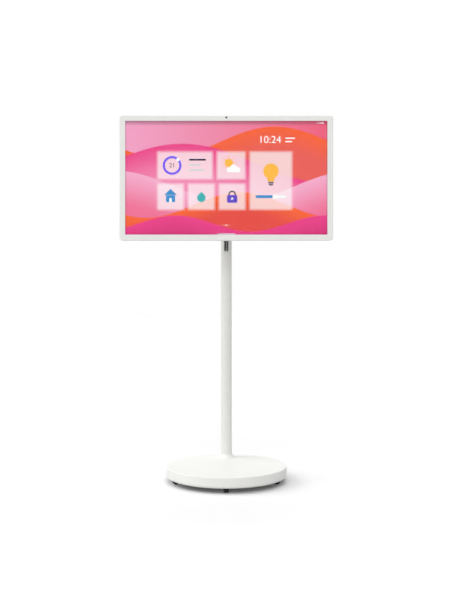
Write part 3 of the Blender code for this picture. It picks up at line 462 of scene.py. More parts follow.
def arc(centre, radius, start, end, steps, rise=None):
    """Points of an arc, which is elliptical if its rise isn't its radius. Angles are in degrees."""
    turns = [math.radians(start + (end - start) * k / steps) for k in range(steps + 1)]
    return [(centre[0] + radius * math.cos(t), centre[1] + (rise or radius) * math.sin(t)) for t in turns]


def spun(name, axis, profile, centre, steps, ring=False):
    """Turns a profile of (radius, place along the axis) about an axis through the point centre."""
    middle = Vector(centre)
    points = [middle + across(axis, radius, 0.0, place) for radius, place in profile]
    if ring:
        points.append(points[0])
    deselect()
    bpy.ops.mesh.primitive_plane_add(size=PAST, location=points[0])
    mode("EDIT")
    bpy.ops.mesh.select_mode(type="VERT")
    bpy.ops.mesh.select_all(action="SELECT")
    bpy.ops.mesh.merge(type="CENTER")
    for here, there in zip(points, points[1:]):
        bpy.ops.mesh.extrude_region_move(TRANSFORM_OT_translate={"value": there - here})
    bpy.ops.mesh.select_all(action="SELECT")
    bpy.ops.mesh.spin(steps=steps, angle=2 * math.pi, center=middle, axis=across(axis, 0.0, 0.0, 1.0))
    close_mesh(TINY / 10)
    return settle(name)


def facing(place, outward):
    """Matrix that turns +Z to face outward and moves the origin to a place."""
    turn = Vector((0.0, 0.0, 1.0)).rotation_difference(Vector(outward))
    return Matrix.Translation(place) @ turn.to_matrix().to_4x4()


def piece(obj, body, slot, stands_for=(), look=None):
    """Smooths a finished form, gives it its slot's finish or another look, and lets it ride on a body."""
    only(obj)
    bpy.ops.object.shade_smooth_by_angle(angle=math.radians(SMOOTH_ANGLE))
    even = obj.modifiers.new("even_shading", "WEIGHTED_NORMAL")
    even.keep_sharp = True
    apply(obj, even)
    obj.data.materials.clear()
    obj.data.materials.append(look or FINISHES[slot])
    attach(obj, body)
    if stands_for:
        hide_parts(*stands_for)
    return obj


def copy_of(obj, name, move):
    """A copy with its own mesh, moved by a matrix."""
    twin = obj.copy()
    twin.data = obj.data.copy()
    twin.name = name
    twin.data.name = name
    twin.data.transform(move)
    bpy.context.scene.collection.objects.link(twin)
    return twin


def linear(red, green, blue):
    """A display colour of 0 to 255 as the linear colour that a shader takes."""
    shares = [value / 255 for value in (red, green, blue)]
    return tuple(s / 12.92 if s <= 0.04045 else ((s + 0.055) / 1.055) ** 2.4 for s in shares) + (1.0,)


def scaled(colour, share):
    return tuple(min(1.0, value * share) for value in colour[:3]) + (1.0,)


BLACK = (0.0, 0.0, 0.0, 1.0)
WHITE = (1.0, 1.0, 1.0, 1.0)


def new_material(name):
    """(material, node tree, inputs of its shader) of a new Principled material."""
    material = bpy.data.materials.new(name)
    material.use_nodes = True
    tree = material.node_tree
    return material, tree, tree.nodes["Principled BSDF"].inputs


def fill(tree, inputs, values):
    """Gives inputs their values. A value is plain or the output of another node."""
    for key, value in values.items():
        if isinstance(value, bpy.types.NodeSocket):
            tree.links.new(value, inputs[key])
        else:
            inputs[key].default_value = value


def add(tree, kind, output, values):
    """Output of a new node with these values."""
    node = tree.nodes.new("ShaderNode" + kind)
    fill(tree, node.inputs, values)
    return node.outputs[output]


def reckon(tree, operation, *values, clamp=False):
    """Output of a new Math node."""
    node = tree.nodes.new("ShaderNodeMath")
    node.operation = operation
    node.use_clamp = clamp
    fill(tree, node.inputs, dict(enumerate(values)))
    return node.outputs["Value"]


def blended(tree, share, below, above):
    """Colour below with colour above laid over it by a share."""
    mix = tree.nodes.new("ShaderNodeMix")
    mix.data_type = "RGBA"
    fill(tree, mix.inputs, {0: share, 6: below, 7: above})
    return mix.outputs[2]


def ramp(tree, factor, low, high):
    """A factor turned into a colour between two colours."""
    band = tree.nodes.new("ShaderNodeValToRGB")
    for stop, place, colour in zip(band.color_ramp.elements, (NOISE_LOW, NOISE_HIGH), (low, high)):
        stop.position = place
        stop.color = colour
    fill(tree, band.inputs, {"Fac": factor})
    return band.outputs["Color"]


def spread(tree, factor, low, high):
    """A factor turned into a number between low and high."""
    return add(tree, "MapRange", "Result", {
        "Value": factor, "From Min": NOISE_LOW, "From Max": NOISE_HIGH, "To Min": low, "To Max": high})


def noise(tree, place, scale, detail=3.0):
    """Factor of a noise with that many features in a metre."""
    return add(tree, "TexNoise", "Fac", {"Vector": place, "Scale": scale, "Detail": detail})


def object_place(tree):
    return tree.nodes.new("ShaderNodeTexCoord").outputs["Object"]


def object_axes(tree):
    """Outputs X, Y and Z of a point of the object."""
    split = tree.nodes.new("ShaderNodeSeparateXYZ")
    fill(tree, split.inputs, {"Vector": object_place(tree)})
    return split.outputs


def finish_of(name, colour, roughness, metallic=0.0, vary=MOTTLE_SPREAD, grain=GRAIN, depth=GRAIN_DEPTH,
              stretch=None):
    """A finish with faint mottling, uneven gloss and a fine grain. A stretched one is brushed."""
    material, tree, shader = new_material(name)
    place = object_place(tree)
    if stretch:
        place = add(tree, "Mapping", "Vector", {"Vector": place, "Scale": stretch})
    mottle = noise(tree, place, grain / MOTTLE_BREADTH)
    gloss = noise(tree, place, grain / GLOSS_BREADTH)
    bumps = {"Strength": BUMP_STRENGTH, "Distance": depth, "Height": noise(tree, place, grain, 2.0)}
    fill(tree, shader, {
        "Base Color": ramp(tree, mottle, scaled(colour, 1 - vary), scaled(colour, 1 + vary)),
        "Metallic": metallic,
        "Roughness": spread(tree, gloss, roughness - GLOSS_SPREAD, roughness + GLOSS_SPREAD),
        "Specular IOR Level": 0.5 if metallic else 0.3,
        "Normal": add(tree, "Bump", "Normal", bumps),
    })
    return material


def clear_material(name, colour, roughness):
    """Clear glass, with faint smears in its gloss."""
    material, tree, shader = new_material(name)
    smear = noise(tree, object_place(tree), SMEARS)
    fill(tree, shader, {
        "Base Color": colour,
        "Roughness": spread(tree, smear, roughness, roughness + SMEAR_SPREAD),
        "IOR": CLEAR_IOR,
        "Transmission Weight": 1.0,
    })
    return material


def board_material(name):
    """Green solder mask with paler tracks."""
    material, tree, shader = new_material(name)
    tracks = add(tree, "TexBrick", "Color", {
        "Vector": object_place(tree),
        "Scale": TRACKS,
        "Mortar Size": TRACK_WIDTH,
        "Color1": linear(20, 84, 48),
        "Color2": linear(24, 92, 54),
        "Mortar": linear(52, 128, 84),
    })
    fill(tree, shader, {"Base Color": tracks, "Roughness": 0.4})
    return material


def glow(tree, shader, colour, roughness):
    """Lets a black surface give off a colour."""
    fill(tree, shader, {
        "Base Color": BLACK,
        "Roughness": roughness,
        "Specular IOR Level": 0.0,
        "Emission Color": colour,
        "Emission Strength": 1.0,
    })


def ink_material(name, colour, shade):
    """A lit colour on the screen. It shades by that share towards the bottom of the picture."""
    material, tree, shader = new_material(name)
    start = 0.5 - INK_FADE * (PICTURE_Z - INK_FADE_DROP)
    height = reckon(tree, "MULTIPLY_ADD", object_axes(tree)["Z"], INK_FADE, start)
    glow(tree, shader, ramp(tree, height, scaled(colour, 1 - shade), colour), 0.5)
    return material


def wave_colours(tree):
    """Colour of the screen's background: soft overlapping waves of pink, rose and orange."""
    axes = object_axes(tree)
    height = reckon(tree, "SUBTRACT", axes["Z"], PICTURE_Z)
    along = reckon(tree, "MULTIPLY_ADD", axes["X"], 1 / (2 * PICTURE_HALF[0]), 0.5)
    colour = blended(tree, along, linear(*SKY_LEFT), linear(*SKY_RIGHT))
    for middle, swing, rate, phase, crest, inner, fade in WAVES:
        wave = reckon(tree, "SINE", reckon(tree, "MULTIPLY_ADD", axes["X"], rate, phase))
        top = reckon(tree, "MULTIPLY_ADD", wave, swing, middle)
        below = reckon(tree, "SUBTRACT", top, height)
        inside = reckon(tree, "MULTIPLY", below, WAVE_SHARPNESS, clamp=True)
        deep = reckon(tree, "MULTIPLY", below, 1 / fade, clamp=True)
        shade = blended(tree, deep, linear(*crest), linear(*inner))
        colour = blended(tree, inside, colour, shade)
    return colour


def fading(tree, distance, shade, fade):
    """1 far from an edge, less by the share of painted shade at the edge itself."""
    light = reckon(tree, "MULTIPLY_ADD", distance, shade / fade, 1 - shade)
    return reckon(tree, "MINIMUM", light, 1.0)


def painted_lip_shade(tree, colour):
    """A colour with a painted shade of the bezel's lip: darkened along the top of the picture, where it also
    serves as the status bar's dark band, and, a little, along its other edges.
    """
    axes = object_axes(tree)
    from_top = reckon(tree, "SUBTRACT", PICTURE_HIGH.z, axes["Z"])
    from_bottom = reckon(tree, "SUBTRACT", axes["Z"], PICTURE_LOW.z)
    from_side = reckon(tree, "SUBTRACT", PICTURE_HIGH.x, reckon(tree, "ABSOLUTE", axes["X"]))
    # Painted shade of the bezel's lip, faded in from each edge of the picture
    near_edge = reckon(tree, "MINIMUM", from_bottom, from_side)
    edge_light = fading(tree, near_edge, EDGE_SHADE, EDGE_FADE)
    top_light = fading(tree, from_top, TOP_SHADE, TOP_FADE)
    return blended(tree, reckon(tree, "MULTIPLY", edge_light, top_light), BLACK, colour)


def screen_material(name, white=0.0):
    """The lit background with a painted shade of the bezel's lip along its edges, or a frosted card over it
    with a share of white.
    """
    material, tree, shader = new_material(name)
    colour = painted_lip_shade(tree, wave_colours(tree))
    if white:
        colour = blended(tree, white, colour, WHITE)
    glow(tree, shader, colour, 0.4)
    return material


FINISHES = {
    "white_plastic": finish_of("satin_white_plastic", linear(234, 234, 231), 0.42),
    "white_coating": finish_of("white_powder_coat", linear(224, 224, 221), 0.42, grain=1100.0, depth=0.00005),
    "grey_plastic": finish_of("dark_grey_plastic", linear(160, 160, 161), 0.50, vary=0.06),
    "black_plastic": finish_of("black_plastic", linear(26, 26, 27), 0.48, vary=0.10),
    "black_rubber": finish_of("black_rubber", linear(22, 22, 23), 0.72, vary=0.18, grain=420.0,
                              depth=0.00012),
    "white_acetal": finish_of("natural_acetal", linear(224, 223, 214), 0.38),
    "steel": finish_of("plated_steel", linear(196, 197, 200), 0.32, metallic=1.0, vary=0.05, grain=500.0,
                       depth=0.00002, stretch=(0.06, 1.0, 1.0)),
    "aluminium": finish_of("plain_aluminium", linear(214, 216, 219), 0.36, metallic=1.0, vary=0.04,
                           stretch=(0.08, 1.0, 1.0)),
    "clear_glass": clear_material("cover_glass", WHITE, 0.0),
    "acrylic": clear_material("clear_acrylic", linear(236, 242, 244), 0.05),
    "screen": screen_material("lit_background"),
    "circuit_board": board_material("green_circuit_board"),
    "battery_wrap": finish_of("blue_battery_wrap", linear(40, 78, 150), 0.36, vary=0.08),
}
LENS_FINISH = finish_of("dark_lens_glass", linear(8, 8, 10), 0.10, vary=0.2)
LENS_FINISH.node_tree.nodes["Principled BSDF"].inputs["Coat Weight"].default_value = 0.2
INK = {
    "white": ink_material("lit_white", WHITE, 0.05),
    "grey": ink_material("lit_grey", linear(214, 214, 216), 0.08),
    "violet": ink_material("lit_violet", linear(118, 88, 240), 0.35),
    "blue": ink_material("lit_blue", linear(70, 172, 246), 0.35),
    "teal": ink_material("lit_teal", linear(74, 206, 208), 0.30),
    "navy": ink_material("lit_navy", linear(28, 28, 66), 0.30),
    "amber": ink_material("lit_amber", linear(255, 186, 66), 0.25),
    "outer_card": screen_material("pale_card_edge", 0.26),
    "card": screen_material("pale_card", 0.58),
}


def make_bezel():
    """The white frame round the screen, with the camera's window at the top."""
    front = FRONT_Y - PAST
    back = BEZEL_HIGH.y + PAST
    seat = FRONT_Y + BEZEL_LIP
    bezel = slab("bezel", BEZEL_LOW, BEZEL_HIGH, "Y", DISPLAY_CORNER, steps=12)
    round_edges(bezel, lies_at("Y", FRONT_Y), BEZEL_EDGE, steps=6)
    carve(bezel, block("opening", (PICTURE_LOW.x, front, PICTURE_LOW.z),
                       (PICTURE_HIGH.x, back, PICTURE_HIGH.z)))
    for low, high in ((GLASS_LOW, GLASS_HIGH), (MODULE_LOW, MODULE_HIGH)):
        carve(bezel, block("rebate", (low.x - GAP, seat, low.z - GAP), (high.x + GAP, back, high.z + GAP)))
    camera_z = (LENS_LOW.z + LENS_HIGH.z) / 2
    radius = (LENS_HIGH.x - LENS_LOW.x) / 2
    drill(bezel, "Y", radius + GAP, front, back, (0.0, camera_z), FACETS_SMALL)
    sides = [lies_at("X", PICTURE_LOW.x), lies_at("X", PICTURE_HIGH.x),
             lies_at("Z", PICTURE_LOW.z), lies_at("Z", PICTURE_HIGH.z)]
    on_opening = both(lies_at("Y", FRONT_Y), lambda a, b: any(side(a, b) for side in sides))
    round_edges(bezel, on_opening, BEZEL_CHAMFER, steps=2)
    piece(bezel, "display", "white_plastic", ["front_bezel"])

    edge_y = LENS_LOW.y + LENS_EDGE
    profile = arc((0.0, edge_y), radius - LENS_EDGE, -90, 0, 6, LENS_EDGE)
    profile += [(radius, edge_y), (radius, LENS_HIGH.y), (0.0, LENS_HIGH.y)]
    lens = spun("camera_window", "Y", profile, (0.0, 0.0, camera_z), FACETS_SMALL)
    piece(lens, "display", "clear_glass", ["camera_lens"], LENS_FINISH)


def make_screen():
    """The cover glass and the lit panel behind it."""
    glass = soften(block("glass", GLASS_LOW, GLASS_HIGH), GLASS_EDGE)
    piece(glass, "display", "clear_glass", ["touch_glass"])
    panel = soften(block("lit_panel", LCD_LOW, LCD_HIGH), FINE_EDGE)
    piece(panel, "display", "screen", ["lcd_cell"])


def slot_row(place, size, count):
    """Cutters for a row of upright slots with round ends in the back of the housing."""
    low = COVER_HIGH.y - COVER_WALL - PAST / 2
    high = COVER_HIGH.y + PAST
    half = (size[0] / 2, size[1] / 2)
    z = CENTRE_Z + place[1]
    cutters = []
    for k in range(count):
        x = place[0] + (k - (count - 1) / 2) * SLOT_PITCH
        cutters.append(slab("slot", (x - half[0], low, z - half[1]), (x + half[0], high, z + half[1]), "Y",
                            SLOT_END * min(half), steps=4))
    return cutters


def make_rear_cover():
    """The back of the display: a thin rim and the deeper housing in its middle."""
    back = COVER_HIGH.y
    half = Vector((HOUSING_WIDTH / 2, 0.0, HOUSING_HEIGHT / 2))
    middle = Vector((0.0, 0.0, CENTRE_Z))
    wall = Vector((COVER_WALL, 0.0, COVER_WALL))

    def at_depth(corner, y):
        return corner.x, y, corner.z

    cover = slab("rear_shell", COVER_LOW, at_depth(COVER_HIGH, RIM_BACK), "Y", DISPLAY_CORNER, steps=12)
    round_edges(cover, lies_at("Y", RIM_BACK), RIM_EDGE, steps=8)
    housing = slab("housing", at_depth(middle - half, RIM_BACK - RIM_EDGE), at_depth(middle + half, back),
                   "Y", HOUSING_CORNER, steps=14)
    round_edges(housing, lies_at("Y", back), HOUSING_EDGE, steps=8)
    weld(cover, housing)

    def in_housing(a, b):
        return all(abs(p.x) < half.x + TINY and abs(p.z - CENTRE_Z) < half.z + TINY for p in (a, b))

    round_edges(cover, both(in_housing, lies_at("Y", RIM_BACK)), HOUSING_FILLET, steps=5)

    floor = RIM_BACK - COVER_WALL
    hollow = slab("rim_hollow", at_depth(COVER_LOW + wall, COVER_LOW.y - PAST),
                  at_depth(COVER_HIGH - wall, floor), "Y", DISPLAY_CORNER - COVER_WALL, steps=6)
    carve(cover, round_edges(hollow, lies_at("Y", floor), RIM_EDGE - COVER_WALL, steps=4))
    carve(cover, slab("housing_hollow", at_depth(middle - half + wall, FRONT_Y),
                      at_depth(middle + half - wall, back - COVER_WALL),
                      "Y", HOUSING_CORNER - COVER_WALL, steps=8))
    carve(cover, merged("back_slots", [slot for row in SLOT_ROWS for slot in slot_row(*row)]))
    for node in TONGUES:
        low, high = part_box(node)
        carve(cover, block("window", low - Vector((PAST, GAP, GAP)), high + Vector((0.0, GAP, GAP))))
    for node, length in BUTTONS.items():
        carve(cover, button_form("hole", node, length, GAP, PAST))
    piece(cover, "display", "white_plastic", ["rear_cover"])


def button_form(name, node, length, margin, past):
    """A round-ended button along X, or its hole with a margin."""
    low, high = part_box(node)
    y = (low.y + high.y) / 2
    z = (low.z + high.z) / 2
    half = (BUTTON_HEIGHT / 2 + margin, length / 2 + margin)
    return slab(name, (low.x + BUTTON_FLANGE - past, y - half[0], z - half[1]),
                (high.x + past, y + half[0], z + half[1]), "X", BUTTON_END * half[0], steps=8)


def make_buttons():
    for node, length in BUTTONS.items():
        low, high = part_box(node)
        cap = button_form(node.replace("_button", "_key"), node, length, 0.0, 0.0)
        round_edges(cap, lies_at("X", high.x), BUTTON_EDGE, steps=3)
        weld(cap, slab("foot", low, (low.x + BUTTON_FLANGE, high.y, high.z), "X",
                       BUTTON_FOOT_END * (high.y - low.y) / 2, steps=6))
        piece(cap, node.replace("_button", ""), "grey_plastic", [node])


def make_sockets():
    """The plastic tongues inside the two sockets."""
    for node, thickness in TONGUES.items():
        low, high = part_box(node)
        y = (low.y + high.y) / 2
        tongue = block(node.replace("socket", "tongue"),
                       (low.x + TONGUE_START, y - thickness / 2, low.z + TONGUE_INSET),
                       (low.x + TONGUE_END, y + thickness / 2, high.z - TONGUE_INSET))
        piece(soften(tongue, FINE_EDGE), "display", "black_plastic")


def make_screw(place, outward, size):
    """A low round screw head with a six-sided socket. It stands at a place and faces outward."""
    radius, height = size
    edge = SCREW_EDGE * height
    profile = [(0.0, 0.0), (radius, 0.0)]
    profile += arc((radius - edge, height - edge), edge, 0, 90, 4) + [(0.0, height)]
    head = spun("head", "Z", profile, (0.0, 0.0, 0.0), FACETS_TINY)
    drill(head, "Z", SCREW_SOCKET_WIDTH * radius, SCREW_SOCKET_FLOOR * height, height + PAST, (0.0, 0.0), 6)
    head.data.transform(facing(place, outward))
    return head


def screw_group(name, body, places, outward, size):
    heads = [make_screw(place, outward, size) for place in places]
    piece(merged(name, heads), body, "steel")


def vesa_spots():
    """Places (x, z) of the four screws in the mounting plate."""
    half = VESA_SPACING / 2
    return [(x, CENTRE_Z + z) for x in (-half, half) for z in (-half, half)]


def make_screws():
    """Screws that hold the mounting plate, the rear cover and the bottom cover."""
    backward = (0.0, 1.0, 0.0)
    places = [(x, PLATE_HIGH.y, z) for x, z in vesa_spots()]
    screw_group("plate_screws", "display", places, backward, PLATE_SCREW)

    aside = BEZEL_HIGH.x - COVER_SCREW_INSET
    up = (BEZEL_HIGH.z - BEZEL_LOW.z) / 2 - COVER_SCREW_INSET
    spots = [(x, z) for x in (-aside, 0.0, aside) for z in (-up, up)]
    spots += [(-aside, 0.0), (aside, 0.0)]
    places = [(x, RIM_BACK, CENTRE_Z + z) for x, z in spots]
    screw_group("cover_screws", "display", places, backward, COVER_SCREW)

    ring = CASTER_CIRCLE + BOTTOM_SCREW_OUT
    places = [(x, y, BOTTOM_LOW.z) for x, y in ring_spots(ring, caster_turns(0.5))]
    screw_group("bottom_screws", "stand", places, (0.0, 0.0, -1.0), BOTTOM_SCREW)


def make_plate():
    """The square steel plate between the display and the turning head."""
    face = PLATE_HIGH.y - VESA_THICKNESS
    plate = slab("mounting_plate", (PLATE_LOW.x, face, PLATE_LOW.z), PLATE_HIGH, "Y", PLATE_CORNER, steps=8)
    soften(plate, SOFT_EDGE)
    for spot in vesa_spots():
        weld(plate, cylinder("post", "Y", POST_RADIUS, PLATE_LOW.y, face + SOFT_EDGE, spot, FACETS_TINY))
    drill(plate, "Y", PLATE_BORE, FRONT_Y, PLATE_HIGH.y + PAST, (0.0, CENTRE_Z), FACETS_SMALL)
    piece(plate, "display", "steel", ["vesa_plate"])


def ear_form(axis, low, high, radius):
    """A block whose back end is rounded about an axis."""
    back_edges = both(runs_along(axis), lies_at("Y", high[1]))
    return round_edges(block("ear", low, high), back_edges, EAR_END * radius, steps=14)


def make_head():
    """The round head that tilts, with its two ears and the shaft that the display turns on."""
    hub_back = TILT_Y - BOSS_RADIUS - HUB_CLEARANCE
    hub_front = hub_back - HUB_DEPTH
    radius = (HEAD_HIGH.x - HEAD_LOW.x) / 2
    profile = [(0.0, HEAD_LOW.y), (SHAFT_RADIUS, HEAD_LOW.y), (SHAFT_RADIUS, hub_front),
               (radius - HUB_CHAMFER, hub_front), (radius, hub_front + HUB_CHAMFER)]
    profile += arc((radius - HUB_EDGE, hub_back - HUB_EDGE), HUB_EDGE, 0, 90, 5) + [(0.0, hub_back)]
    head = spun("tilting_head", "Y", profile, (0.0, 0.0, CENTRE_Z), FACETS_LARGE)
    inner = BOSS_HALF + 2 * GAP + WASHER_THICKNESS
    for side in (-1, 1):
        low, high = sorted((side * inner, side * (inner + EAR_THICKNESS)))
        ear = ear_form("X", (low, hub_back - EAR_SINK, CENTRE_Z - BOSS_RADIUS),
                       (high, TILT_Y + BOSS_RADIUS, CENTRE_Z + BOSS_RADIUS), BOSS_RADIUS)
        soften(ear, SOFT_EDGE)
        drill(ear, "X", PIN_RADIUS + GAP, low - PAST, high + PAST, (TILT_Y, CENTRE_Z), FACETS_TINY)
        weld(head, ear)
    piece(head, "tilt", "white_coating", ["tilt_head"])


def swivel_bore(obj):
    """Cuts the hole for the upright pin."""
    low, high = CENTRE_Z - BORE_REACH, CENTRE_Z + BORE_REACH
    drill(obj, "Z", PIN_RADIUS + GAP, low, high, (0.0, SWIVEL_Y), FACETS_TINY)


def make_yoke():
    """The yoke that swivels on the arm and carries the tilt boss."""
    ear_low = EYE_HALF + 2 * GAP
    ear_high = ear_low + EAR_THICKNESS
    front = TILT_Y + BOSS_RADIUS - YOKE_OVERLAP
    web = SWIVEL_Y - EYE_RADIUS - WEB_CLEARANCE
    half = BOSS_HALF
    yoke = block("swivelling_yoke", (-half, front, CENTRE_Z - ear_high), (half, web, CENTRE_Z + ear_high))
    for low, high in ((ear_low, ear_high), (-ear_high, -ear_low)):
        weld(yoke, ear_form("Z", (-half, front, CENTRE_Z + low),
                            (half, SWIVEL_Y + half, CENTRE_Z + high), half))
    weld(yoke, cylinder("boss", "X", BOSS_RADIUS, -half, half, (TILT_Y, CENTRE_Z)))
    soften(yoke, SOFT_EDGE)
    swivel_bore(yoke)
    drill(yoke, "X", PIN_RADIUS + GAP, -BORE_REACH, BORE_REACH, (TILT_Y, CENTRE_Z), FACETS_TINY)
    piece(yoke, "yoke", "white_coating", ["swivel_yoke"])


def make_arm():
    """The arm that comes out of the pole's slot, tapered to the eye that the yoke turns on."""
    root = POLE_Y - POLE_RADIUS - ARM_ROOT
    waist = POLE_Y - POLE_RADIUS - ARM_WAIST
    half = (ARM_HIGH.z - ARM_LOW.z) / 2
    arm = block("neck", (-ARM_HALF_WIDTH, SWIVEL_Y, CENTRE_Z - half),
                (ARM_HALF_WIDTH, ARM_HIGH.y, CENTRE_Z + half))
    only(arm)
    mode("EDIT")
    for level in (root, waist):
        bpy.ops.mesh.select_all(action="SELECT")
        bpy.ops.mesh.bisect(plane_co=(0.0, level, CENTRE_Z), plane_no=(0.0, 1.0, 0.0))
    pick_edges(arm, lambda a, b: a.y < waist + TINY and b.y < waist + TINY)
    bpy.ops.transform.resize(value=(1.0, 1.0, EYE_HALF / half), center_override=(0.0, waist, CENTRE_Z))
    mode("OBJECT")
    weld(arm, cylinder("eye", "Z", EYE_RADIUS, CENTRE_Z - EYE_HALF, CENTRE_Z + EYE_HALF, (0.0, SWIVEL_Y)))
    swivel_bore(arm)
    soften(arm, SOFT_EDGE)
    piece(arm, "carriage", "white_coating", ["neck_arm"])


def make_pins():
    """The two joint pins, with low domed heads."""
    for node, name, axis, centre, body in (
        ("swivel_pin", "upright_pin", "Z", (0.0, SWIVEL_Y, 0.0), "yoke"),
        ("tilt_pin", "cross_pin", "X", (0.0, TILT_Y, CENTRE_Z), "tilt"),
    ):
        low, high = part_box(node)
        start, end = low[AXES[axis]], high[AXES[axis]]
        under_head = end - PIN_HEAD_HEIGHT
        profile = [(0.0, start), (PIN_RADIUS - PIN_CHAMFER, start), (PIN_RADIUS, start + PIN_CHAMFER),
                   (PIN_RADIUS, under_head), (PIN_HEAD_RADIUS, under_head)]
        profile += arc((PIN_HEAD_RADIUS - PIN_HEAD_EDGE, end - PIN_HEAD_EDGE), PIN_HEAD_EDGE, 0, 90, 5)
        pin = spun(name, axis, profile + [(0.0, end)], centre, FACETS_SMALL)
        piece(pin, body, "steel", [node])


def make_pole():
    """The slotted pole with its dark liner, its cap and the rod of the gas spring inside."""
    bore = POLE_RADIUS - POLE_WALL
    plug = bore - GAP
    slot_half = SLOT_WIDTH / 2
    slot_front = POLE_Y - 2 * POLE_RADIUS
    middle = (*POLE_SPOT, 0.0)
    pole = cylinder("pole", "Z", POLE_RADIUS, TUBE_LOW.z, TUBE_HIGH.z, POLE_SPOT, FACETS_POLE)
    drill(pole, "Z", bore, TUBE_LOW.z - PAST, TUBE_HIGH.z + PAST, POLE_SPOT, FACETS_POLE)
    carve(pole, slab("slot", (-slot_half, slot_front, SLOT_LOW_Z), (slot_half, POLE_Y, SLOT_HIGH_Z), "Y",
                     SLOT_CORNER, steps=4))
    piece(pole, "stand", "white_coating", ["pole_tube"])

    low, high = CHANNEL_LOW.z - PAST, CHANNEL_HIGH.z + PAST
    liner = cylinder("slot_liner", "Z", plug, CHANNEL_LOW.z, CHANNEL_HIGH.z, POLE_SPOT, FACETS_LARGE)
    drill(liner, "Z", plug - CHANNEL_WALL, low, high, POLE_SPOT, FACETS_LARGE)
    carve(liner, block("mouth", (-slot_half, slot_front, low), (slot_half, POLE_Y, high)))
    piece(liner, "stand", "grey_plastic", ["guide_channel"])

    seat = CAP_HIGH.z - CAP_HEIGHT
    profile = [(0.0, CAP_LOW.z), (plug, CAP_LOW.z), (plug, seat), (POLE_RADIUS, seat)]
    profile += arc((POLE_RADIUS - CAP_EDGE, CAP_HIGH.z - CAP_EDGE), CAP_EDGE, 0, 90, 10) + [(0.0, CAP_HIGH.z)]
    piece(spun("top_cap", "Z", profile, middle, FACETS_POLE), "stand", "white_plastic", ["pole_cap"])

    eye = (ROD_HIGH.x - ROD_LOW.x) / 2
    eye_low = ROD_HIGH.z - ROD_EYE_HEIGHT
    profile = [(0.0, ROD_LOW.z), (ROD_RADIUS - ROD_CHAMFER, ROD_LOW.z), (ROD_RADIUS, ROD_LOW.z + ROD_CHAMFER),
               (ROD_RADIUS, eye_low), (eye - ROD_CHAMFER, eye_low), (eye, eye_low + ROD_CHAMFER),
               (eye, ROD_HIGH.z), (0.0, ROD_HIGH.z)]
    piece(spun("spring_rod", "Z", profile, middle, FACETS_SMALL), "carriage", "steel", ["gas_spring_rod"])


def make_base():
    """The round base: its shell, the flared collar at the pole and the cover underneath."""
    inner = BASE_RADIUS - BASE_WALL
    ring = POLE_RADIUS + GAP
    curve_z = BASE_LOW.z + BASE_LOW_CURVE * math.sin(math.radians(BASE_LOW_SWEEP))
    profile = [(0.0, BASE_TOP_Z)]
    profile += arc((BASE_RADIUS - BASE_TOP_EDGE, BASE_TOP_Z - BASE_TOP_EDGE), BASE_TOP_EDGE, 90, 0, 10)
    profile += arc((BASE_RADIUS - BASE_LOW_CURVE, curve_z), BASE_LOW_CURVE, 0, -BASE_LOW_SWEEP, 14)
    profile += [(profile[-1][0] - BASE_WALL, BASE_LOW.z), (inner, curve_z),
                (inner, BASE_TOP_Z - BASE_WALL), (0.0, BASE_TOP_Z - BASE_WALL)]
    shell = spun("base_shell", "Z", profile, (0.0, 0.0, 0.0), FACETS_BASE)
    drill(shell, "Z", ring, BASE_TOP_Z - PAST, BASE_TOP_Z + PAST, POLE_SPOT, FACETS_POLE)
    inlet = (INLET_LOW + INLET_HIGH) / 2
    outward = Vector((inlet.x, inlet.y, 0.0)).normalized()
    hole = cylinder("inlet_hole", "Z", INLET_RADIUS, -INLET_DEPTH, PAST, (0.0, 0.0), FACETS_SMALL)
    hole.data.transform(facing(outward * BASE_RADIUS + Vector((0.0, 0.0, inlet.z)), outward))
    carve(shell, hole)
    piece(shell, "stand", "white_plastic", ["base_cover"])

    low = BASE_TOP_Z - FLARE_SINK
    curve = arc((FLARE_RADIUS, BASE_HIGH.z), FLARE_RADIUS - ring - FLARE_LIP, 180, 180 + FLARE_SWEEP, 18,
                BASE_HIGH.z - BASE_TOP_Z)
    profile = [(ring, BASE_HIGH.z - GAP), (ring + GAP, BASE_HIGH.z)] + curve
    profile += [(curve[-1][0], low), (ring, low)]
    collar = spun("pole_collar", "Z", profile, (*POLE_SPOT, 0.0), FACETS_POLE, ring=True)
    piece(collar, "stand", "white_plastic")

    radius = (BOTTOM_HIGH.x - BOTTOM_LOW.x) / 2
    low, high = BOTTOM_LOW.z, BOTTOM_HIGH.z
    cover = cylinder("underside", "Z", radius, low, high, (0.0, 0.0), FACETS_POLE)
    windows = [cylinder("window", "Z", CASTER_WINDOW, low - PAST, high + PAST, spot)
               for spot in ring_spots(CASTER_CIRCLE, caster_turns())]
    carve(cover, merged("caster_windows", windows))
    piece(soften(cover, SOFT_EDGE), "stand", "black_plastic", ["bottom_cover"])


def caster_turns(offset=0.0):
    """Angles of the casters round the base, or of places that share of a step further on."""
    return [2 * math.pi * (k + offset) / CASTER_COUNT for k in range(CASTER_COUNT)]


def ring_spots(radius, turns):
    """Places (x, y) on a circle. Turns go from the front towards +X."""
    return [(radius * math.sin(turn), -radius * math.cos(turn)) for turn in turns]


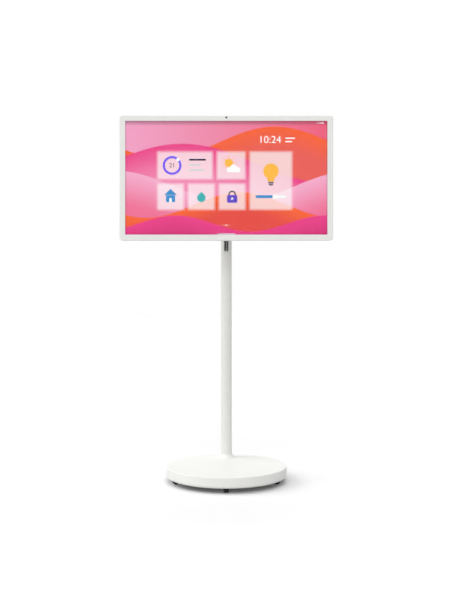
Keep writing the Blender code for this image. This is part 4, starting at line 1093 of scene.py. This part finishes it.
def make_fork():
    """One caster's fork, about its swivel axis. The wheel trails towards the front."""
    half_out = FORK_HIGH.x
    half_in = half_out - FORK_WALL
    under = 2 * WHEEL_RADIUS + FORK_CLEARANCE
    top = under + FORK_PLATE
    low = FORK_LOW.z
    back = FORK_LOW.y + CASTER_CIRCLE
    front = FORK_HIGH.y + CASTER_CIRCLE
    web_end = front - FORK_CORNER
    web_low = under - WEB_DROP
    fork = slab("fork", (-half_out, back, under), (half_out, front, top), "Z", FORK_CORNER, steps=6)
    soften(fork, FORK_EDGE)
    for side in (-1, 1):
        near, far = sorted((side * half_in, side * (half_out - FORK_STEP)))
        cheek = block("cheek", (near, back + FORK_STEP, low),
                      (far, CHEEK_REACH - CASTER_TRAIL, under + FORK_SINK))
        round_edges(cheek, both(runs_along("X"), lies_at("Z", low)), CHEEK_ROUND, steps=10)
        weld(fork, soften(cheek, FORK_EDGE))
        near, far = sorted((side * (half_in + FORK_STEP), side * (half_out - 2 * FORK_STEP)))
        web = block("web", (near, WEB_REACH - CASTER_TRAIL, web_low), (far, web_end, under + 2 * FORK_SINK))
        weld(fork, round_edges(web, both(lies_at("Y", web_end), lies_at("Z", web_low)), WEB_ROUND, steps=6))
    middle = (0.0, 0.0)
    weld(fork, cylinder("collar", "Z", FORK_COLLAR_RADIUS, top - FORK_SINK, FORK_COLLAR_Z, middle,
                        FACETS_SMALL))
    weld(fork, cylinder("stem", "Z", STEM_RADIUS, top, FORK_HIGH.z, middle, FACETS_TINY))
    axle = (-CASTER_TRAIL, WHEEL_RADIUS)
    return drill(fork, "X", AXLE_RADIUS + GAP, -AXLE_REACH, AXLE_REACH, axle, FACETS_TINY)


def make_wheel():
    """One caster's wheel about its axle: a dished hub and a rounded rubber tread with two grooves."""
    half = (WHEEL_HIGH.x - WHEEL_LOW.x) / 2
    outer = [(radius, half - depth) for radius, depth in WHEEL_SIDE]
    outer += arc((TREAD_LIP_RADIUS, half - TREAD_LIP), TREAD_LIP, 180, 90, 3)[1:]
    outer += arc((WHEEL_RADIUS - TREAD_EDGE, half - TREAD_EDGE), TREAD_EDGE, 90, 0, 6)
    outer += [(WHEEL_RADIUS - depth, place) for place, depth in TREAD_GROOVE]
    profile = outer + [(r, -h) for r, h in reversed(outer)]
    return spun("wheel", "X", profile, (0.0, -CASTER_TRAIL, WHEEL_RADIUS), FACETS_WHEEL, ring=True)


def make_casters():
    fork = make_fork()
    wheel = make_wheel()
    out = Matrix.Translation((0.0, -CASTER_CIRCLE, 0.0))
    for number, turn in enumerate(caster_turns(), start=1):
        move = Matrix.Rotation(turn, 4, "Z") @ out
        twin = copy_of(fork, f"fork_{number}", move)
        piece(twin, f"caster_{number}", "black_plastic", [f"caster_fork_{number}"])
        twin = copy_of(wheel, f"tread_{number}", move)
        piece(twin, f"wheel_{number}", "black_rubber", [f"caster_wheel_{number}"])
    bpy.data.objects.remove(fork)
    bpy.data.objects.remove(wheel)


def depth_of(layer):
    """(front, back) of a layer of the picture. Higher layers lie nearer to the glass."""
    back = LCD_LOW.y - LAYER * (1.5 * layer + 1)
    return back - LAYER, back


def lit(obj, ink):
    return piece(obj, "display", "screen", look=INK[ink])


def tile(name, centre, size, layer, corner=0.0):
    """A flat tile of the picture, rounded at its corners."""
    front, back = depth_of(layer)
    x, z = centre[0], PICTURE_Z + centre[1]
    flat = block(name, (x - size[0] / 2, front, z - size[1] / 2), (x + size[0] / 2, back, z + size[1] / 2))
    if corner:
        round_edges(flat, runs_along("Y"), corner, steps=6)
    return flat


def dot(name, centre, radius, layer, steps=FACETS_SMALL):
    front, back = depth_of(layer)
    return cylinder(name, "Y", radius, front, back, (centre[0], PICTURE_Z + centre[1]), steps)


def hoop(name, centre, outer, inner, layer):
    ring = dot(name, centre, outer, layer)
    return drill(ring, "Y", inner, FRONT_Y, LCD_HIGH.y, (centre[0], PICTURE_Z + centre[1]), FACETS_SMALL)


def reshaped(obj, centre, matrix):
    """Turns or scales a tile about a point of the picture."""
    middle = Matrix.Translation((centre[0], 0.0, PICTURE_Z + centre[1]))
    obj.data.transform(middle @ matrix @ middle.inverted())
    return obj


def turned(obj, centre, angle):
    return reshaped(obj, centre, Matrix.Rotation(math.radians(angle), 4, "Y"))


def digits(name, body, centre, size, layer):
    """Plain digits on the screen."""
    deselect()
    place = (centre[0], sum(depth_of(layer)) / 2, PICTURE_Z + centre[1])
    bpy.ops.object.text_add(location=place, rotation=TURNS["Y"])
    text = bpy.context.object.data
    text.body = body
    text.size = size
    text.align_x = "CENTER"
    text.align_y = "CENTER"
    text.extrude = LAYER / 2
    bpy.ops.object.convert(target="MESH")
    mode("EDIT")
    close_mesh(LAYER / 10)
    return settle(name)


def card(name, low, high):
    """A frosted card with a paler middle. Gives the point in its middle."""
    middle = ((low[0] + high[0]) / 2, (low[1] + high[1]) / 2)
    size = (high[0] - low[0], high[1] - low[1])
    lit(tile(name + "_edge", middle, size, 0, CARD_CORNER), "outer_card")
    inner = (size[0] - 2 * CARD_RIM, size[1] - 2 * CARD_RIM)
    lit(tile(name, middle, inner, 1, CARD_INNER_CORNER), "card")
    return middle


def draw_dial(x, z):
    """A ring with a mark and digits, and three lines beside it."""
    dial = (x - 0.045, z)
    lit(hoop("dial_ring", dial, 0.033, 0.025, 2), "violet")
    lit(dot("dial_mark", (dial[0] + 0.0205, z + 0.0205), 0.0058, 3), "white")
    lit(digits("dial_digits", "21", dial, 0.022, 2), "navy")
    left = x + 0.014
    for k, (length, ink) in enumerate(((0.06, "navy"), (0.042, "grey"), (0.052, "grey"))):
        centre = (left + length / 2, z + 0.02 - 0.018 * k)
        lit(tile(f"dial_line_{k + 1}", centre, (length, 0.0062), 2, 0.003), ink)


def draw_weather(x, z):
    """A sun behind a cloud."""
    sun = (x - 0.008, z + 0.009)
    lit(dot("sun", sun, 0.015, 2), "amber")
    rays = []
    for k in range(8):
        ray = tile("ray", (sun[0], sun[1] + 0.0225), (0.003, 0.007), 2, 0.0014)
        rays.append(turned(ray, sun, 45.0 * k))
    lit(merged("sun_rays", rays), "amber")
    puffs = ((-0.006, -0.015, 0.009), (0.008, -0.01, 0.013), (0.023, -0.015, 0.009))
    for k, (right, up, radius) in enumerate(puffs):
        lit(dot(f"cloud_{k + 1}", (x + right, z + up), radius, 3 + k), "white")
    lit(tile("cloud_foot", (x + 0.0085, z - 0.0195), (0.046, 0.009), 6, 0.0044), "white")


def draw_lamp(x, z):
    """A light bulb above a level bar."""
    bulb_z = z + 0.033
    lit(dot("bulb", (x, bulb_z), 0.027, 2), "amber")
    lit(tile("bulb_neck", (x, bulb_z - 0.029), (0.024, 0.014), 3, 0.004), "amber")
    for k in range(2):
        size = (0.02 - 0.004 * k, 0.0048)
        lit(tile(f"bulb_cap_{k + 1}", (x, bulb_z - 0.04 - 0.007 * k), size, 3, 0.0023), "navy")
    level_z = z - 0.056
    lit(tile("level_track", (x, level_z), (0.108, 0.01), 2, 0.0049), "white")
    lit(tile("level_bar", (x - 0.02, level_z), (0.068, 0.01), 3, 0.0049), "blue")
    lit(dot("level_knob", (x + 0.014, level_z), 0.0088, 4), "white")


def draw_house(x, z):
    lit(tile("house_wall", (x, z - 0.007), (0.032, 0.024), 2, 0.003), "blue")
    top = (x, z + 0.013)
    roof = dot("house_roof", top, 0.026, 3, steps=3)
    lit(reshaped(roof, top, Matrix.Scale(0.55, 4, (0.0, 0.0, 1.0))), "blue")
    lit(tile("house_door", (x, z - 0.012), (0.009, 0.014), 4, 0.0015), "white")


def draw_drop(x, z):
    """A drop: a square with three round corners, turned so that its sharp one is on top."""
    half = 0.015
    middle = (x, z - 0.004)
    drop = tile("drop", middle, (2 * half, 2 * half), 2)
    tip = both(lies_at("X", x + half), lies_at("Z", PICTURE_Z + middle[1] + half))
    rounded = both(runs_along("Y"), lambda a, b: not tip(a, b))
    lit(turned(round_edges(drop, rounded, 0.0149, steps=10), middle, -45.0), "teal")


def draw_lock(x, z):
    lit(hoop("lock_bow", (x, z + 0.008), 0.013, 0.0085, 2), "navy")
    lit(tile("lock_body", (x, z - 0.008), (0.036, 0.027), 3, 0.005), "violet")
    lit(dot("lock_hole", (x, z - 0.007), 0.004, 4), "white")


def draw_marks(x, z):
    """The clock with two lines beside it, the page dots, the status marks and the bar at the bottom."""
    lit(digits("clock_digits", "10:24", (x, z), 0.036, 2), "white")
    left = x + 0.054
    for k, length in enumerate((0.034, 0.024)):
        centre = (left + length / 2, z + 0.006 - 0.012 * k)
        lit(tile(f"clock_line_{k + 1}", centre, (length, 0.0044), 2, 0.0021), "white")
    for k, ink in enumerate(("outer_card", "white", "outer_card")):
        lit(dot(f"page_dot_{k + 1}", (0.01 * (k - 1), -0.166), 0.0028, 2), ink)
    top_row = PICTURE_HALF[1] - 0.007
    for k, width in enumerate((0.004, 0.004, 0.009)):
        lit(tile(f"status_mark_{k + 1}", (0.32 + 0.0085 * k, top_row), (width, 0.0038), 2, 0.0018), "white")
    lit(tile("home_bar", (0.0, 0.0026 - PICTURE_HALF[1]), (0.061, 0.0036), 2, 0.0017), "grey")


def make_picture():
    middles = [card(name, low, high) for name, (low, high) in CARDS.items()]
    for draw, middle in zip((draw_dial, draw_weather, draw_lamp, draw_house, draw_drop, draw_lock), middles):
        draw(*middle)
    draw_marks(*CLOCK_PLACE)


def dress_nodes():
    """Gives each CAD node that still shows the finish of its slot."""
    for entry in frame["record"]["subparts"]:
        node = frame["nodes"][entry["node"]]
        node.data.materials.clear()
        node.data.materials.append(FINISHES[entry["material_slot"]])


def direct_ray(tree):
    """1 where the camera sees the surface itself, in a reflection or through glass."""
    path = tree.nodes.new("ShaderNodeLightPath").outputs
    seen = reckon(tree, "MAXIMUM", path["Is Camera Ray"], path["Is Glossy Ray"])
    return reckon(tree, "MAXIMUM", seen, path["Is Transmission Ray"])


def make_floor():
    deselect()
    bpy.ops.mesh.primitive_plane_add(size=FLOOR_SIZE)
    floor = settle("floor")
    material, tree, shader = new_material("pale_floor")
    seen = direct_ray(tree)
    fill(tree, shader, {
        "Base Color": blended(tree, seen, FLOOR_BOUNCE, FLOOR_SEEN),
        "Roughness": 0.9,
        "Specular IOR Level": 0.0,
        "Emission Color": WHITE,
        "Emission Strength": reckon(tree, "MULTIPLY", seen, FLOOR_LIFT),
    })
    floor.data.materials.append(material)


def make_light(scene):
    """A white background that lights the object less than it shows, and the lamps."""
    world = bpy.data.worlds.new("studio")
    scene.world = world
    world.use_nodes = True
    tree = world.node_tree
    light = tree.nodes["Background"]
    fill(tree, light.inputs, {"Color": WHITE, "Strength": SKY_FILL})
    seen = add(tree, "Background", "Background", {"Color": WHITE, "Strength": 1.0})
    mix = add(tree, "MixShader", "Shader", {"Fac": direct_ray(tree), 1: light.outputs["Background"], 2: seen})
    fill(tree, tree.nodes["World Output"].inputs, {"Surface": mix})

    for name, strength, (tip, side), softness in LAMPS:
        lamp = bpy.data.lights.new(name, "SUN")
        lamp.energy = strength
        lamp.angle = math.radians(softness)
        holder = bpy.data.objects.new(name, lamp)
        holder.rotation_euler = (math.radians(tip), 0.0, math.radians(side))
        scene.collection.objects.link(holder)


def make_camera(scene):
    lens = bpy.data.cameras.new("camera")
    lens.lens = CAMERA_LENS
    lens.shift_x = -OBJECT_OFFSET / PHOTO_HEIGHT
    camera = bpy.data.objects.new("camera", lens)
    camera.location = CAMERA_PLACE
    camera.rotation_euler = (math.pi / 2, 0.0, 0.0)
    scene.collection.objects.link(camera)
    scene.camera = camera


bpy.context.scene.view_settings.view_transform = "Standard"
make_floor()
make_light(bpy.context.scene)
make_camera(bpy.context.scene)
dress_nodes()
make_base()
make_casters()
make_pole()
make_arm()
make_yoke()
make_head()
make_pins()
make_plate()
make_bezel()
make_rear_cover()
make_buttons()
make_sockets()
make_screws()
make_screen()
make_picture()
